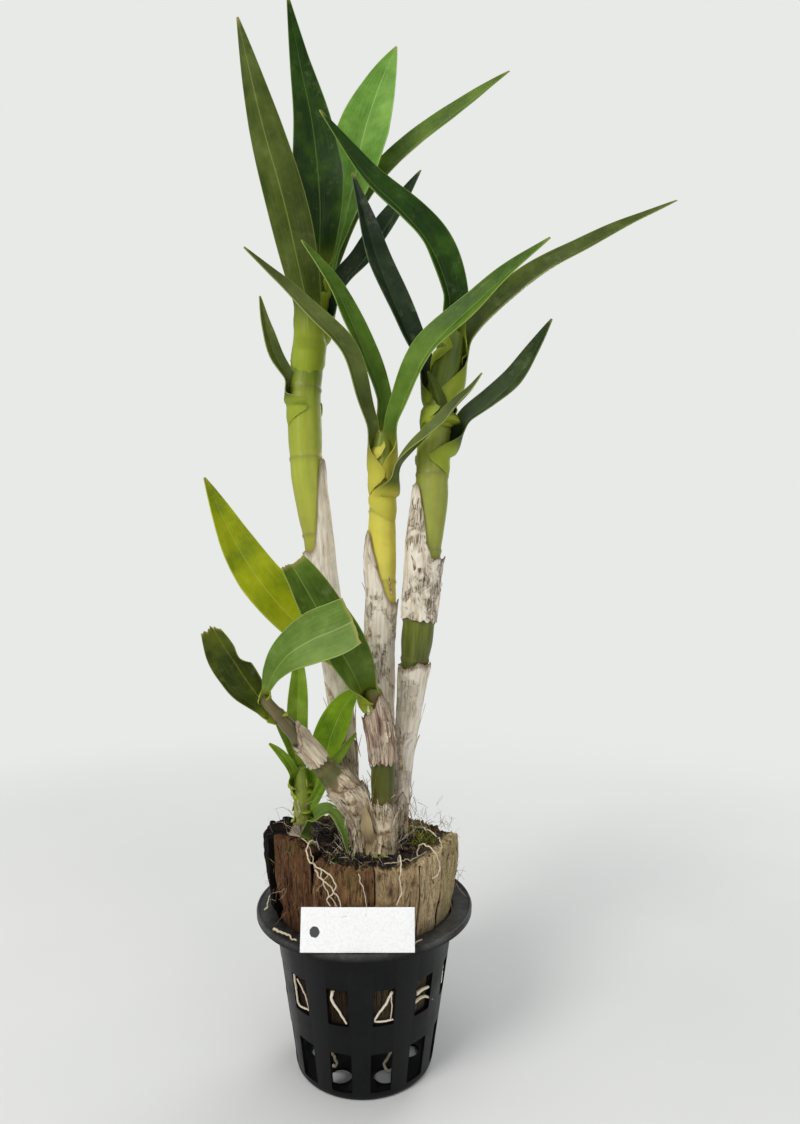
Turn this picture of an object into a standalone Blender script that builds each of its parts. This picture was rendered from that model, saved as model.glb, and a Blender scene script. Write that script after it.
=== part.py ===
"""Dendrobium orchid growing in a slotted net pot.

The plant stands in coconut husk and a dark fibrous medium. Lengths in this script are in
millimetres and are turned into metres where a mesh is made. The origin is the centre of the
pot's flat base, +Z is up, and the front of the plant faces -Y.
"""
import math
import random

import bmesh
import bpy
from mathutils import Vector

MM = 0.001
CLEAR = 0.3

# Net pot: a turned shell with a flat flange round its mouth
POT_HEIGHT = 74.0
POT_MOUTH_R = 42.5
POT_BASE_R = 32.6
POT_WALL = 1.4
POT_FLOOR = 1.6
FLANGE_R = 51.6
FLANGE_LIP = 0.6
POT_SIDES = 40
SLOT_COUNT = 12
SLOT_WIDTH = 10.0
SLOT_ROWS = ((3.8, 22.6), (36.0, 53.0))
SLOT_REACH = 8.0
SLOT_NARROWING = 0.05
DRAIN_COUNT = 6
DRAIN_RING_R = 20.5
DRAIN_R = 5.5
DRAIN_SIDES = 12

# Coconut husk lining and the medium inside it
HUSK_FOOT_Z = 34.0
HUSK_TOP_R = 45.4
HUSK_POT_GAP = 0.45
HUSK_MOUTH_GAP = 0.7
HUSK_CRACK = 0.5
HUSK_RELIEF = 1.1
HUSK_JAG = (-1.6, 0.6)
HUSK_COLUMN_DEG = 5.5
HUSK_ROWS = (0.0, 0.36, 0.55, 0.68, 0.85, 1.0)
HUSK_MOUTH_ROW = 2
BELOW_MOUTH = 2.0
ABOVE_MOUTH = 6.0
HUSK_TOP_SLOPE = 1.5
HUSK_BURIED_RELIEF = 0.3
MEDIUM_FOOT_Z = 30.0
MEDIUM_TOP_Z = 101.0
MEDIUM_FOOT_R = 30.4
MEDIUM_TOP_R = 36.2
MEDIUM_LUMP = 1.0
MEDIUM_RINGS = 14
MEDIUM_TOP_RINGS = 6
MEDIUM_SEGMENTS = 30
MEDIUM_EDGE_DROP = 1.5

# Plant
CANE_SIDES_RESOLUTION = 4
CANE_STEP = 12.0
CANE_LEAST_STEPS = 4
BLADE_THICKNESS = 0.8
SHEATH_THICKNESS = 0.7
SHEATH_GAP = 0.6
SHEATH_COLUMNS = 11
SHEATH_ROWS = 4
SHEATH_TEAR = 1.5
SHEATH_BULGE = 0.35

# Label card
CARD_WIDTH = 48.0
CARD_HEIGHT = 17.6
CARD_THICKNESS = 0.6
CARD_FOOT_Y = -49.9
CARD_LEAN_DEG = 12.0
CARD_OFFSET_X = -0.8
CARD_GAP = 0.4

FRONT = Vector((0.0, -1.0, 0.0))

COLOURS = {
    "pot_plastic": ((0.012, 0.013, 0.015), 0.45),
    "husk": ((0.24, 0.13, 0.06), 0.9),
    "charred_husk": ((0.02, 0.014, 0.01), 0.9),
    "medium": ((0.025, 0.018, 0.012), 0.95),
    "root": ((0.55, 0.45, 0.32), 0.8),
    "green_cane": ((0.30, 0.36, 0.07), 0.45),
    "papery_sheath": ((0.62, 0.55, 0.45), 0.7),
    "leaf": ((0.13, 0.28, 0.05), 0.4),
    "card": ((0.85, 0.85, 0.84), 0.6),
}


def clear_scene():
    for ob in list(bpy.data.objects):
        bpy.data.objects.remove(ob, do_unlink=True)


def make_collection(name):
    collection = bpy.data.collections.new(name)
    bpy.context.scene.collection.children.link(collection)
    return collection


def make_material(name):
    colour, roughness = COLOURS[name]
    material = bpy.data.materials.new(name)
    material.use_nodes = True
    shader = material.node_tree.nodes["Principled BSDF"]
    shader.inputs["Base Color"].default_value = (*colour, 1.0)
    shader.inputs["Roughness"].default_value = roughness
    shader.inputs["Metallic"].default_value = 0.0
    return material


def mesh_from(bm, name):
    """Turn a bmesh drawn in millimetres into a mesh in metres."""
    bmesh.ops.scale(bm, vec=(MM, MM, MM), verts=bm.verts)
    mesh = bpy.data.meshes.new(name)
    bm.to_mesh(mesh)
    bm.free()
    return mesh


def add_object(name, mesh, collection, material=None, smooth=True):
    ob = bpy.data.objects.new(name, mesh)
    collection.objects.link(ob)
    if material is not None:
        mesh.materials.append(material)
    if smooth:
        mesh.shade_smooth()
        mesh.set_sharp_from_angle(angle=math.radians(40))
    return ob


def hide_cutter(ob):
    ob.hide_render = True
    ob.display_type = "WIRE"


def cut(ob, cutter):
    boolean = ob.modifiers.new("cut", "BOOLEAN")
    boolean.operation = "DIFFERENCE"
    boolean.object = cutter
    return boolean


def thicken(ob, thickness, offset):
    solid = ob.modifiers.new("thickness", "SOLIDIFY")
    solid.thickness = thickness * MM
    solid.offset = offset
    return solid


class Route:
    """A smooth curve through points, read by the share of its length from 0 to 1."""

    def __init__(self, points):
        self.points = [Vector(p) for p in points]
        self.marks = [0.0]
        for a, b in zip(self.points, self.points[1:]):
            self.marks.append(self.marks[-1] + (b - a).length)
        self.length = self.marks[-1]

    def locate(self, share):
        distance = min(max(share, 0.0), 1.0) * self.length
        index = 0
        while index < len(self.marks) - 2 and distance > self.marks[index + 1]:
            index += 1
        span = self.marks[index + 1] - self.marks[index]
        return index, (distance - self.marks[index]) / span

    def at(self, share):
        i, t = self.locate(share)
        p = self.points
        p1 = p[i]
        p2 = p[i + 1]
        p0 = p[i - 1] if i > 0 else p1 * 2 - p2
        p3 = p[i + 2] if i + 2 < len(p) else p2 * 2 - p1
        return 0.5 * (2 * p1 + (p2 - p0) * t + (2 * p0 - 5 * p1 + 4 * p2 - p3) * t * t
                      + (3 * p1 - p0 - 3 * p2 + p3) * t * t * t)

    def along(self, share):
        step = 0.01
        return (self.at(min(share + step, 1.0)) - self.at(max(share - step, 0.0))).normalized()

    def blend(self, values, share):
        """A value given at each point of the route, read between them."""
        i, t = self.locate(share)
        return values[i] * (1 - t) + values[i + 1] * t


# Canes: the axis from the medium to the tip, and the radius at each point
CANES = {
    "cane_left": (
        [(-8, 14, 94), (-9, 14, 118), (-11, 15, 148), (-14, 15, 173), (-19, 15, 209), (-24, 15, 245),
         (-27, 15, 264), (-30, 15, 284), (-31, 15, 305), (-31, 15, 325), (-28, 15, 353), (-26, 16, 375),
         (-25, 17, 385)],
        [5.0, 5.0, 5.2, 5.6, 6.4, 7.2, 7.8, 8.3, 8.6, 8.6, 7.6, 6.0, 4.0]),
    "cane_middle": (
        [(10, 12, 94), (9, 11, 139), (7, 9, 169), (7, 8, 199), (8, 8, 219), (8, 8, 239), (8, 8, 259),
         (8, 8, 279), (8, 8, 296), (9, 8, 304)],
        [4.6, 5.4, 6.2, 6.8, 7.0, 7.1, 6.9, 6.1, 5.2, 3.8]),
    "cane_right": (
        [(16, 2, 94), (17, 2, 122), (19, 2, 146), (22.5, 1, 176), (25, 0, 199), (27, 0, 220), (29, 0, 246),
         (32, 0, 268), (33, 0, 292), (35, 0, 307), (38, 0, 326), (41, 0, 341), (44, 0, 352)],
        [3.4, 3.4, 4.1, 6.0, 7.7, 8.4, 8.4, 8.3, 7.8, 7.3, 7.4, 6.4, 4.4]),
    "cane_leaning": (
        [(-1, -12, 95), (-2, -13, 115), (-5, -14, 127), (-12, -15, 136), (-19, -17, 144), (-25, -19, 152),
         (-35, -23, 165), (-43, -26, 175), (-45, -27, 180)],
        [3.6, 4.2, 7.4, 7.2, 4.9, 4.2, 3.5, 2.7, 1.8]),
    "cane_short": (
        [(10, -14, 94), (9, -14, 127), (9, -14, 146), (7, -14, 162), (5, -14, 174), (4, -14, 180)],
        [5.0, 5.6, 5.9, 6.0, 5.0, 3.4]),
    "shoot": (
        [(-30, -3, 95), (-30, -3, 112), (-30, -3, 128), (-31, -3, 140)],
        [4.2, 4.6, 4.3, 3.0]),
}

# Papery sheaths: cane, foot and top as heights, the higher top on one side, first and last angle,
# and the angle of the higher side, from the front towards +X
SHEATHS = {
    "sheath_left": ("cane_left", 150, 244, 288, -160, 160, 70),
    "sheath_middle": ("cane_middle", 128, 219, 252, -165, 165, -60),
    "sheath_right_upper": ("cane_right", 211, 243, 273, -165, 165, -60),
    "sheath_right_lower": ("cane_right", 120, 186, 190, -165, 165, 40),
    "sheath_leaning": ("cane_leaning", 146.5, 154, 162, -150, 150, 60),
    "sheath_short": ("cane_short", 146, 168, 175, -165, 165, 40),
}

# Leaves: cane, route of the midrib, half width, where it is widest, the way the upper face looks
# at the base and at the tip, fold of each half at base and tip in degrees, width kept at the end
LEAVES = {
    "left_leaf_1": ("cane_left", [(-31, 13, 317), (-38, 9, 327), (-44, 5, 338), (-48, 2, 351),
                                  (-51, 0, 367)],
                    4.8, 0.45, (0.8, -0.5, 0.2), (0.5, -0.8, 0.3), 40, 22, 0.0),
    "left_leaf_2": ("cane_left", [(-28, 13, 345), (-29, 4, 365), (-33, -3, 386), (-38, -9, 409),
                                  (-47, -17, 442), (-57, -22, 486)],
                    11.5, 0.40, (0, 1, 0.1), (0.2, 1, 0.1), 40, 25, 0.0),
    "left_leaf_3": ("cane_left", [(-25, 17, 380), (-24, 18, 398), (-24, 19, 424), (-27, 15, 457),
                                  (-33, 7, 487), (-37, -4, 510)],
                    14.5, 0.42, (0, -1, 0), (0.1, -1, 0), 30, 25, 0.0),
    "left_leaf_4": ("cane_left", [(-24, 20, 374), (-17, 28, 396), (-8, 35, 438), (-2, 41, 471), (6, 46, 499),
                                  (15, 50, 523)],
                    15.5, 0.58, (-0.6, -0.6, 0), (-0.2, -1, 0.2), 45, 12, 0.0),
    "left_leaf_5": ("cane_left", [(-25, 20, 370), (-18, 34, 391), (-6, 44, 428), (9, 50, 453), (39, 55, 482),
                                  (79, 60, 516)],
                    9.0, 0.64, (-0.5, -0.8, 0.3), (-0.3, -0.8, 0.5), 40, 25, 0.0),
    "left_leaf_6": ("cane_left", [(-27, 15, 350), (-17, 16, 368), (-10, 18, 381), (0, 22, 395),
                                  (14, 28, 420), (28, 34, 446)],
                    8.5, 0.42, (-0.6, -0.7, 0.2), (-0.3, -0.9, 0.3), 40, 28, 0.0),
    "middle_leaf_1": ("cane_middle", [(8, 8, 282), (-1, 1, 312), (-10, -7, 339), (-30, -16, 359),
                                      (-42, -23, 369), (-52, -32, 377)],
                      7.0, 0.45, (0.7, -0.5, 0.3), (0.4, -0.8, 0.5), 42, 26, 0.0),
    "middle_leaf_2": ("cane_middle", [(9, 9, 294), (7, 12, 320), (-2, 7, 344), (-12, 0, 366), (-22, -8, 380),
                                      (-29, -14, 388)],
                      7.4, 0.42, (0.7, -0.6, 0.3), (0.5, -0.8, 0.2), 40, 26, 0.0),
    "middle_leaf_3": ("cane_middle", [(9, 8, 285), (18, -4, 312), (31, -14, 337), (53, -25, 356),
                                      (67, -34, 367), (81, -44, 376)],
                      9.0, 0.46, (-0.6, -0.6, 0.4), (-0.4, -0.8, 0.5), 42, 22, 0.0),
    "middle_leaf_4": ("cane_middle", [(9, 7, 270), (17, -5, 284), (30, -14, 297), (42, -18, 309),
                                      (49, -22, 316), (54, -26, 323)],
                      5.2, 0.50, (-0.7, 0.2, 0.4), (-0.4, -0.6, 0.6), 40, 28, 0.0),
    "right_leaf_1": ("cane_right", [(43, 0, 340), (40, -5, 366), (32, -8, 386), (19, -12, 401),
                                    (0, -18, 417), (-19, -28, 440)],
                     12.0, 0.38, (0.5, -0.7, 0.2), (0.5, -0.8, 0.4), 40, 24, 0.0),
    "right_leaf_2": ("cane_right", [(37, 1, 312), (27, 6, 337), (18, 8, 357), (6, 10, 388), (-1, 12, 412),
                                    (-7, 14, 434)],
                     8.5, 0.45, (0.6, -0.7, 0.3), (0.4, -0.9, 0.2), 42, 26, 0.0),
    "right_leaf_3": ("cane_right", [(40, 1, 322), (52, 4, 347), (67, 8, 364), (90, 13, 384), (119, 20, 403),
                                    (164, 34, 430)],
                     10.0, 0.30, (-0.6, -0.6, 0.4), (-0.4, -0.7, 0.6), 42, 24, 0.0),
    "right_leaf_4": ("cane_right", [(35, 0, 290), (47, -2, 304), (62, -5, 315), (76, -10, 330),
                                    (87, -18, 350)],
                     7.6, 0.50, (-0.7, -0.5, 0.3), (-0.5, -0.7, 0.4), 40, 24, 0.0),
    "right_leaf_5": ("cane_right", [(38, -3, 306), (34, -11, 318), (30, -13, 327)],
                     3.6, 0.40, (0.3, 0.9, 0.2), (0.4, 0.9, 0.3), 35, 25, 0.0),
    "short_leaf_1": ("cane_short", [(5, -13, 170), (-7, -8, 187), (-26, -6, 203), (-44, -10, 222),
                                    (-59, -16, 246), (-71, -26, 276)],
                     12.5, 0.48, (0.5, -0.6, 0.3), (0.4, -0.8, 0.4), 40, 16, 0.0),
    "short_leaf_2": ("cane_short", [(4, -15, 173), (-4, -22, 187), (-13, -24, 203), (-23, -24, 221),
                                    (-33, -24, 238)],
                     13.0, 0.42, (0.4, -0.6, 0.3), (0.5, -0.8, 0.3), 42, 24, 0.55),
    "leaning_leaf_1": ("cane_leaning", [(-40, -24, 168), (-50, -21.5, 180), (-57, -25, 192), (-61.5, -31.5, 202),
                                        (-65.5, -37, 211)],
                       10.5, 0.55, (-0.4, -0.8, 0.4), (-0.4, -0.8, 0.5), 40, 32, 0.45),
    "leaning_leaf_2": ("cane_leaning", [(-43.5, -29.5, 177), (-41, -32.8, 183), (-37.6, -35, 190), (-31, -37, 198),
                                        (-21.5, -38, 204), (-11.2, -38.5, 208.5), (-3, -39, 212.5)],
                       12.4, 0.80, (-0.3, -0.7, 0.3), (-0.3, -0.9, 0.3), 30, 10, 0.92),
    "shoot_leaf_1": ("shoot", [(-31, -1, 128), (-33, 7, 146), (-34, 10, 162), (-34, 13, 181),
                               (-35, 17, 196)],
                     5.6, 0.50, (0, -1, 0), (0.1, -1, 0.1), 40, 20, 0.0),
    "shoot_leaf_2": ("shoot", [(-31, -2, 126), (-32.5, -1, 140), (-35.8, -1, 150), (-40, -2, 158),
                               (-44.5, -3, 165.5)],
                     3.7, 0.50, (0.4, -0.9, 0.1), (0.4, -0.9, 0.2), 30, 22, 0.0),
    "shoot_leaf_3": ("shoot", [(-30, -1, 119), (-20, 2, 140), (-17, 4, 152), (-11, 5, 166), (-3, 5, 177)],
                     8.6, 0.60, (-0.6, -0.7, 0.2), (-0.3, -0.9, 0.2), 30, 16, 0.0),
    "shoot_leaf_4": ("shoot", [(-29, -5, 114), (-21, -6, 130), (-15, -5, 141), (-9, -4, 149), (-4, -4, 156)],
                     2.8, 0.50, (-0.3, -0.9, 0.1), (-0.2, -1, 0.1), 25, 20, 0.0),
    "shoot_leaf_5": ("shoot", [(-31.5, -5, 131), (-34.5, -7.5, 140), (-39, -9, 147), (-44.7, -10, 152.5)],
                     2.5, 0.50, (0.4, -0.9, 0.1), (0.3, -0.9, 0.3), 30, 22, 0.0),
    "shoot_leaf_6": ("shoot", [(-29, -7, 104), (-22, -16, 120), (-15, -18, 123), (-10, -20, 116),
                               (-7, -21, 105)],
                     3.8, 0.45, (-0.3, -0.2, 1), (0.8, -0.5, 0.5), 40, 22, 0.0),
    "base_bract": ("cane_short", [(7, -16, 103), (2, -22, 113), (1, -23, 127)],
                   4.0, 0.40, (0.4, 0.9, 0), (0.3, 0.9, 0), 38, 30, 0.0),
}

# Leaf blade grid and the waving of its edge
BLADE_ROWS = 10
BLADE_COLUMNS = 4
SHORT_BLADE_ROWS = 8
SHORT_BLADE_LENGTH = 60.0
BLADE_ROOT = 3.4
BLADE_ROOT_SHARE = 0.7
BLADE_TIP = 0.5
BLADE_SWELL = 0.85
SLOW_SWELLS = {"leaning_leaf_2": 1.4}
BLADE_TAPER = 1.9
OPENING_SHARE = 0.625
FOLD_POWER = 1.15
EDGE_WAVE = 0.5
WAVE_TURNS = 2.5


def blade_half_width(share, root, half_width, widest, kept_end, swell):
    """Half width of a blade: it swells from a clasping root and runs to a point or a cut end."""
    if share < widest:
        return root + (half_width - root) * math.sin(share / widest * math.pi / 2) ** swell
    beyond = (share - widest) / (1 - widest)
    end = max(half_width * kept_end, BLADE_TIP)
    return end + (half_width - end) * (1 - beyond ** BLADE_TAPER)


def make_leaf(name, spec, cutters, collection, material):
    """A blade folded along its midrib, which opens on its way out, cut clear of its cane."""
    cane, points, half_width, widest, face_base, face_tip, fold_base, fold_tip, kept_end = spec
    route = Route(points)
    root = min(BLADE_ROOT, BLADE_ROOT_SHARE * cane_radius(cane, points[0][2]))
    rows = SHORT_BLADE_ROWS if route.length < SHORT_BLADE_LENGTH else BLADE_ROWS
    phase = 0.7 * len(name) + 0.3 * sum(map(ord, name))
    swell = SLOW_SWELLS.get(name, BLADE_SWELL)
    face_base = Vector(face_base)
    face_tip = Vector(face_tip)
    bm = bmesh.new()
    bmesh.ops.create_grid(bm, x_segments=rows, y_segments=BLADE_COLUMNS, size=1.0)
    for vert in bm.verts:
        share = (vert.co.x + 1) / 2
        side = vert.co.y
        opened = min(share / OPENING_SHARE, 1.0)
        forward = route.along(share)
        face = face_base.lerp(face_tip, opened)
        across = forward.cross(face).normalized()
        upper = across.cross(forward).normalized()
        fold = math.radians(fold_base + (fold_tip - fold_base) * opened)
        width = blade_half_width(share, root, half_width, widest, kept_end, swell)
        wave = EDGE_WAVE * math.sin(share * WAVE_TURNS * 2 * math.pi + phase) * side * side
        rise = abs(side) ** FOLD_POWER * width * math.sin(fold) + wave * min(width / half_width, 1.0)
        vert.co = route.at(share) + across * (side * width * math.cos(fold)) + upper * rise
    bmesh.ops.triangulate(bm, faces=bm.faces, quad_method="FIXED")
    leaf = add_object(name, mesh_from(bm, name), collection, material)
    thicken(leaf, BLADE_THICKNESS, 0.0)
    cut(leaf, cutters[cane])
    return leaf


def cane_radius(cane, height):
    points, radii = CANES[cane]
    route = Route(points)
    return route.blend(radii, share_at_height(route, height))


def cane_tube(name, growth):
    """A closed tube along a cane's axis, its radii and ends grown by the given clearance."""
    points, radii = CANES[name]
    route = Route(points)
    steps = max(CANE_LEAST_STEPS, round(route.length / CANE_STEP))
    places = [route.at(i / steps) for i in range(steps + 1)]
    places[0] -= route.along(0.0) * growth
    places[-1] += route.along(1.0) * growth
    grown = [route.blend(radii, i / steps) + growth for i in range(steps + 1)]
    return tube_mesh(name, places, grown, CANE_SIDES_RESOLUTION)


def tube_mesh(name, places, radii, resolution):
    """A closed tube through places with a radius at each, from a bevelled curve."""
    curve = bpy.data.curves.new(name, "CURVE")
    curve.dimensions = "3D"
    curve.bevel_depth = MM
    curve.bevel_resolution = resolution
    curve.use_fill_caps = True
    spline = curve.splines.new("POLY")
    spline.points.add(len(places) - 1)
    for point, place, radius in zip(spline.points, places, radii):
        point.co = (*(place * MM), 1.0)
        point.radius = radius
    return mesh_of_curve(curve, name)


def mesh_of_curve(curve, name):
    """The closed mesh of a curve with its caps welded on; the curve itself is removed."""
    guide = bpy.data.objects.new(name + "_guide", curve)
    bpy.context.scene.collection.objects.link(guide)
    bpy.context.view_layer.update()
    evaluated = guide.evaluated_get(bpy.context.evaluated_depsgraph_get())
    mesh = bpy.data.meshes.new_from_object(evaluated)
    bpy.data.objects.remove(guide, do_unlink=True)
    bm = bmesh.new()
    bm.from_mesh(mesh)
    bmesh.ops.remove_doubles(bm, verts=bm.verts, dist=0.00001)
    bmesh.ops.recalc_face_normals(bm, faces=bm.faces)
    bm.to_mesh(mesh)
    bm.free()
    mesh.name = name
    mesh.materials.clear()
    return mesh


def make_canes(collection, cutter_collection, material):
    cutters = {}
    for name in CANES:
        add_object(name, cane_tube(name, 0.0), collection, material)
        cutter = add_object(name + "_cutter", cane_tube(name, CLEAR), cutter_collection)
        hide_cutter(cutter)
        cutters[name] = cutter
    return cutters


def share_at_height(route, height):
    """The share of a rising route at which it reaches a height."""
    low = 0.0
    high = 1.0
    for _ in range(24):
        middle = (low + high) / 2
        if route.at(middle).z < height:
            low = middle
        else:
            high = middle
    return (low + high) / 2


def make_sheath(name, spec, rng, collection, material):
    """A dry papery sheath wrapped round a cane, open in a slit and torn along its top."""
    cane, foot_z, top_z, peak_z, first_deg, last_deg, peak_deg = spec
    points, radii = CANES[cane]
    route = Route(points)
    foot = share_at_height(route, foot_z)
    tear = [rng.uniform(-SHEATH_TEAR, SHEATH_TEAR) for _ in range(SHEATH_COLUMNS + 1)]
    bm = bmesh.new()
    bmesh.ops.create_grid(bm, x_segments=SHEATH_COLUMNS, y_segments=SHEATH_ROWS, size=1.0)
    for vert in bm.verts:
        column = round((vert.co.x + 1) / 2 * SHEATH_COLUMNS)
        up = (vert.co.y + 1) / 2
        angle = math.radians(first_deg + (last_deg - first_deg) * column / SHEATH_COLUMNS)
        nearness = max(math.cos(angle - math.radians(peak_deg)), 0.0) ** 1.3
        top = share_at_height(route, top_z + (peak_z - top_z) * nearness)
        share = foot + (top - foot) * up + tear[column] * up ** 4 / route.length
        axis = route.along(share)
        ahead = (FRONT - axis * FRONT.dot(axis)).normalized()
        sideways = axis.cross(ahead)
        bulge = SHEATH_BULGE * (math.sin(3 * angle + 5 * up) + 1)
        radius = route.blend(radii, share) + SHEATH_GAP + bulge * up
        vert.co = route.at(share) + (ahead * math.cos(angle) + sideways * math.sin(angle)) * radius
    bmesh.ops.triangulate(bm, faces=bm.faces, quad_method="FIXED")
    sheath = add_object(name, mesh_from(bm, name), collection, material)
    thicken(sheath, SHEATH_THICKNESS, 1.0)
    return sheath


def pot_profile():
    """Half section of the pot, from the middle of its floor over the wall and the flange and back."""
    body_top_z = POT_HEIGHT - 1.8
    inner_foot = POT_BASE_R - POT_WALL
    return [(0.0, POT_FLOOR), (inner_foot - 0.8, POT_FLOOR), (inner_foot, POT_FLOOR + 1.0),
            (POT_MOUTH_R - 1.0, POT_HEIGHT - 3.0), (POT_MOUTH_R, POT_HEIGHT),
            (FLANGE_R - 1.6, POT_HEIGHT), (FLANGE_R - 1.3, POT_HEIGHT + FLANGE_LIP),
            (FLANGE_R - 0.6, POT_HEIGHT + FLANGE_LIP), (FLANGE_R, POT_HEIGHT - 0.4),
            (FLANGE_R - 0.2, POT_HEIGHT - 2.6), (FLANGE_R - 1.4, POT_HEIGHT - 2.6),
            (FLANGE_R - 1.7, POT_HEIGHT - 1.5), (POT_MOUTH_R + 1.6, body_top_z),
            (POT_MOUTH_R + 0.5, body_top_z - 1.6), (POT_BASE_R + 0.3, 2.2),
            (POT_BASE_R - 0.4, 0.7), (POT_BASE_R - 1.6, 0.0), (0.0, 0.0)]


def pot_inner_radius(z):
    rise = (z - POT_FLOOR - 1.0) / (POT_HEIGHT - 4.0 - POT_FLOOR)
    return POT_BASE_R - POT_WALL + (POT_MOUTH_R - 1.0 - POT_BASE_R + POT_WALL) * rise


def add_wall_slots(bm):
    """Boxes through the pot's wall, a ring of them for each row of slots."""
    for low, high in SLOT_ROWS:
        reach = pot_inner_radius((low + high) / 2)
        for i in range(SLOT_COUNT):
            turn = (i + 0.5) * 2 * math.pi / SLOT_COUNT
            for vert in bmesh.ops.create_cube(bm, size=1.0)["verts"]:
                narrow = 1.0 - SLOT_NARROWING * (vert.co.z < 0)
                x = vert.co.x * SLOT_WIDTH * narrow
                y = -reach - vert.co.y * SLOT_REACH
                z = low + (vert.co.z + 0.5) * (high - low)
                vert.co = (x * math.cos(turn) - y * math.sin(turn),
                           x * math.sin(turn) + y * math.cos(turn), z)


def add_drains(bm):
    """Round plugs through the pot's floor."""
    for i in range(DRAIN_COUNT):
        angle = i * 2 * math.pi / DRAIN_COUNT
        place = Vector((DRAIN_RING_R * math.cos(angle), DRAIN_RING_R * math.sin(angle), POT_FLOOR / 2))
        plug = bmesh.ops.create_cone(bm, cap_ends=True, segments=DRAIN_SIDES, radius1=DRAIN_R,
                                     radius2=DRAIN_R, depth=4 * POT_FLOOR)
        bmesh.ops.translate(bm, vec=place, verts=plug["verts"])


def make_pot(collection, cutter_collection, material):
    bm = bmesh.new()
    verts = [bm.verts.new((r, 0.0, z)) for r, z in pot_profile()]
    for a, b in zip(verts, verts[1:]):
        bm.edges.new((a, b))
    pot = add_object("net_pot", mesh_from(bm, "net_pot"), collection, material, smooth=False)
    turn = pot.modifiers.new("turn", "SCREW")
    turn.steps = POT_SIDES
    turn.render_steps = POT_SIDES
    turn.use_merge_vertices = True
    turn.merge_threshold = 0.00001
    turn.use_smooth_shade = True
    bm = bmesh.new()
    add_wall_slots(bm)
    add_drains(bm)
    bmesh.ops.recalc_face_normals(bm, faces=bm.faces)
    slots = add_object("net_pot_cutter", mesh_from(bm, "net_pot_cutter"), cutter_collection, smooth=False)
    hide_cutter(slots)
    cut(pot, slots)
    return pot


# Husk pieces round the pot: first and last angle from the front towards +X, and the height of the top
# at both ends and in the middle
HUSK_PIECES = {
    "husk_front_left": (-66, -28, 112.0, 115.0, 111.5),
    "husk_front": (-28, 8, 107.8, 107.2, 106.4),
    "husk_front_right": (8, 35, 106.2, 105.0, 105.6),
    "husk_right": (35, 52, 105.6, 107.0, 108.6),
    "husk_side_right": (52, 92, 109.0, 110.5, 104.0),
    "husk_back_right": (92, 170, 96.5, 100.0, 101.5),
    "husk_back_left": (170, 235, 101.0, 102.0, 103.5),
    "husk_charred": (235, 294, 104.5, 109.0, 110.0),
}
CHARRED_BULGE = 3.2


def husk_inner_radius(z):
    share = min(max((z - HUSK_FOOT_Z) / (POT_HEIGHT - HUSK_FOOT_Z), 0.0), 1.0)
    return MEDIUM_FOOT_R + (MEDIUM_TOP_R - MEDIUM_FOOT_R) * share + CLEAR


def husk_outer_radius(z, top):
    """Outside of the husk: it follows the pot's wall to the mouth and leans out above it."""
    mouth = POT_MOUTH_R - HUSK_MOUTH_GAP
    if z <= POT_HEIGHT:
        return min(pot_inner_radius(z) - HUSK_POT_GAP, mouth)
    share = (z - POT_HEIGHT) / (top - POT_HEIGHT)
    return mouth + (HUSK_TOP_R - mouth) * math.sin(min(share * 1.3, 1.0) * math.pi / 2)


def make_husk_piece(name, spec, rng, collection, material, bulge=0.0):
    """A thick curved slab of husk: flat grid, thickened inwards, ragged on top and rough outside."""
    first, last, top_first, top_middle, top_last = spec
    columns = max(3, round((last - first) / HUSK_COLUMN_DEG))
    rows = len(HUSK_ROWS) - 1
    relief = [[rng.uniform(0, HUSK_RELIEF) for _ in range(rows + 1)] for _ in range(columns + 1)]
    jag = [rng.uniform(*HUSK_JAG) for _ in range(columns + 1)]
    bm = bmesh.new()
    bmesh.ops.create_grid(bm, x_segments=columns, y_segments=rows, size=1.0)
    extruded = bmesh.ops.extrude_face_region(bm, geom=bm.faces[:])["geom"]
    inner = {item for item in extruded if isinstance(item, bmesh.types.BMVert)}
    for vert in bm.verts:
        column = round((vert.co.x + 1) / 2 * columns)
        row = round((vert.co.y + 1) / 2 * rows)
        share = column / columns
        peak = 1 - abs(2 * share - 1)
        top = (top_first * (1 - share) + top_last * share) * (1 - peak) + top_middle * peak + jag[column]
        z = HUSK_FOOT_Z + HUSK_ROWS[row] * (top - HUSK_FOOT_Z)
        if row == HUSK_MOUTH_ROW:
            z = POT_HEIGHT - BELOW_MOUTH
        if row == HUSK_MOUTH_ROW + 1:
            z = POT_HEIGHT + ABOVE_MOUTH
        if vert in inner:
            radius = husk_inner_radius(z)
            z -= HUSK_TOP_SLOPE * (row == rows)
        else:
            free = row > HUSK_MOUTH_ROW
            rough = relief[column][row] * (1.0 if free else HUSK_BURIED_RELIEF)
            radius = husk_outer_radius(z, top) - rough + bulge * free
        trim = HUSK_CRACK / radius
        angle = math.radians(first) + trim + (math.radians(last - first) - 2 * trim) * share
        vert.co = (radius * math.sin(angle), -radius * math.cos(angle), z)
    bmesh.ops.triangulate(bm, faces=bm.faces, quad_method="FIXED")
    bmesh.ops.recalc_face_normals(bm, faces=bm.faces)
    return add_object(name, mesh_from(bm, name), collection, material, smooth=False)


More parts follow.
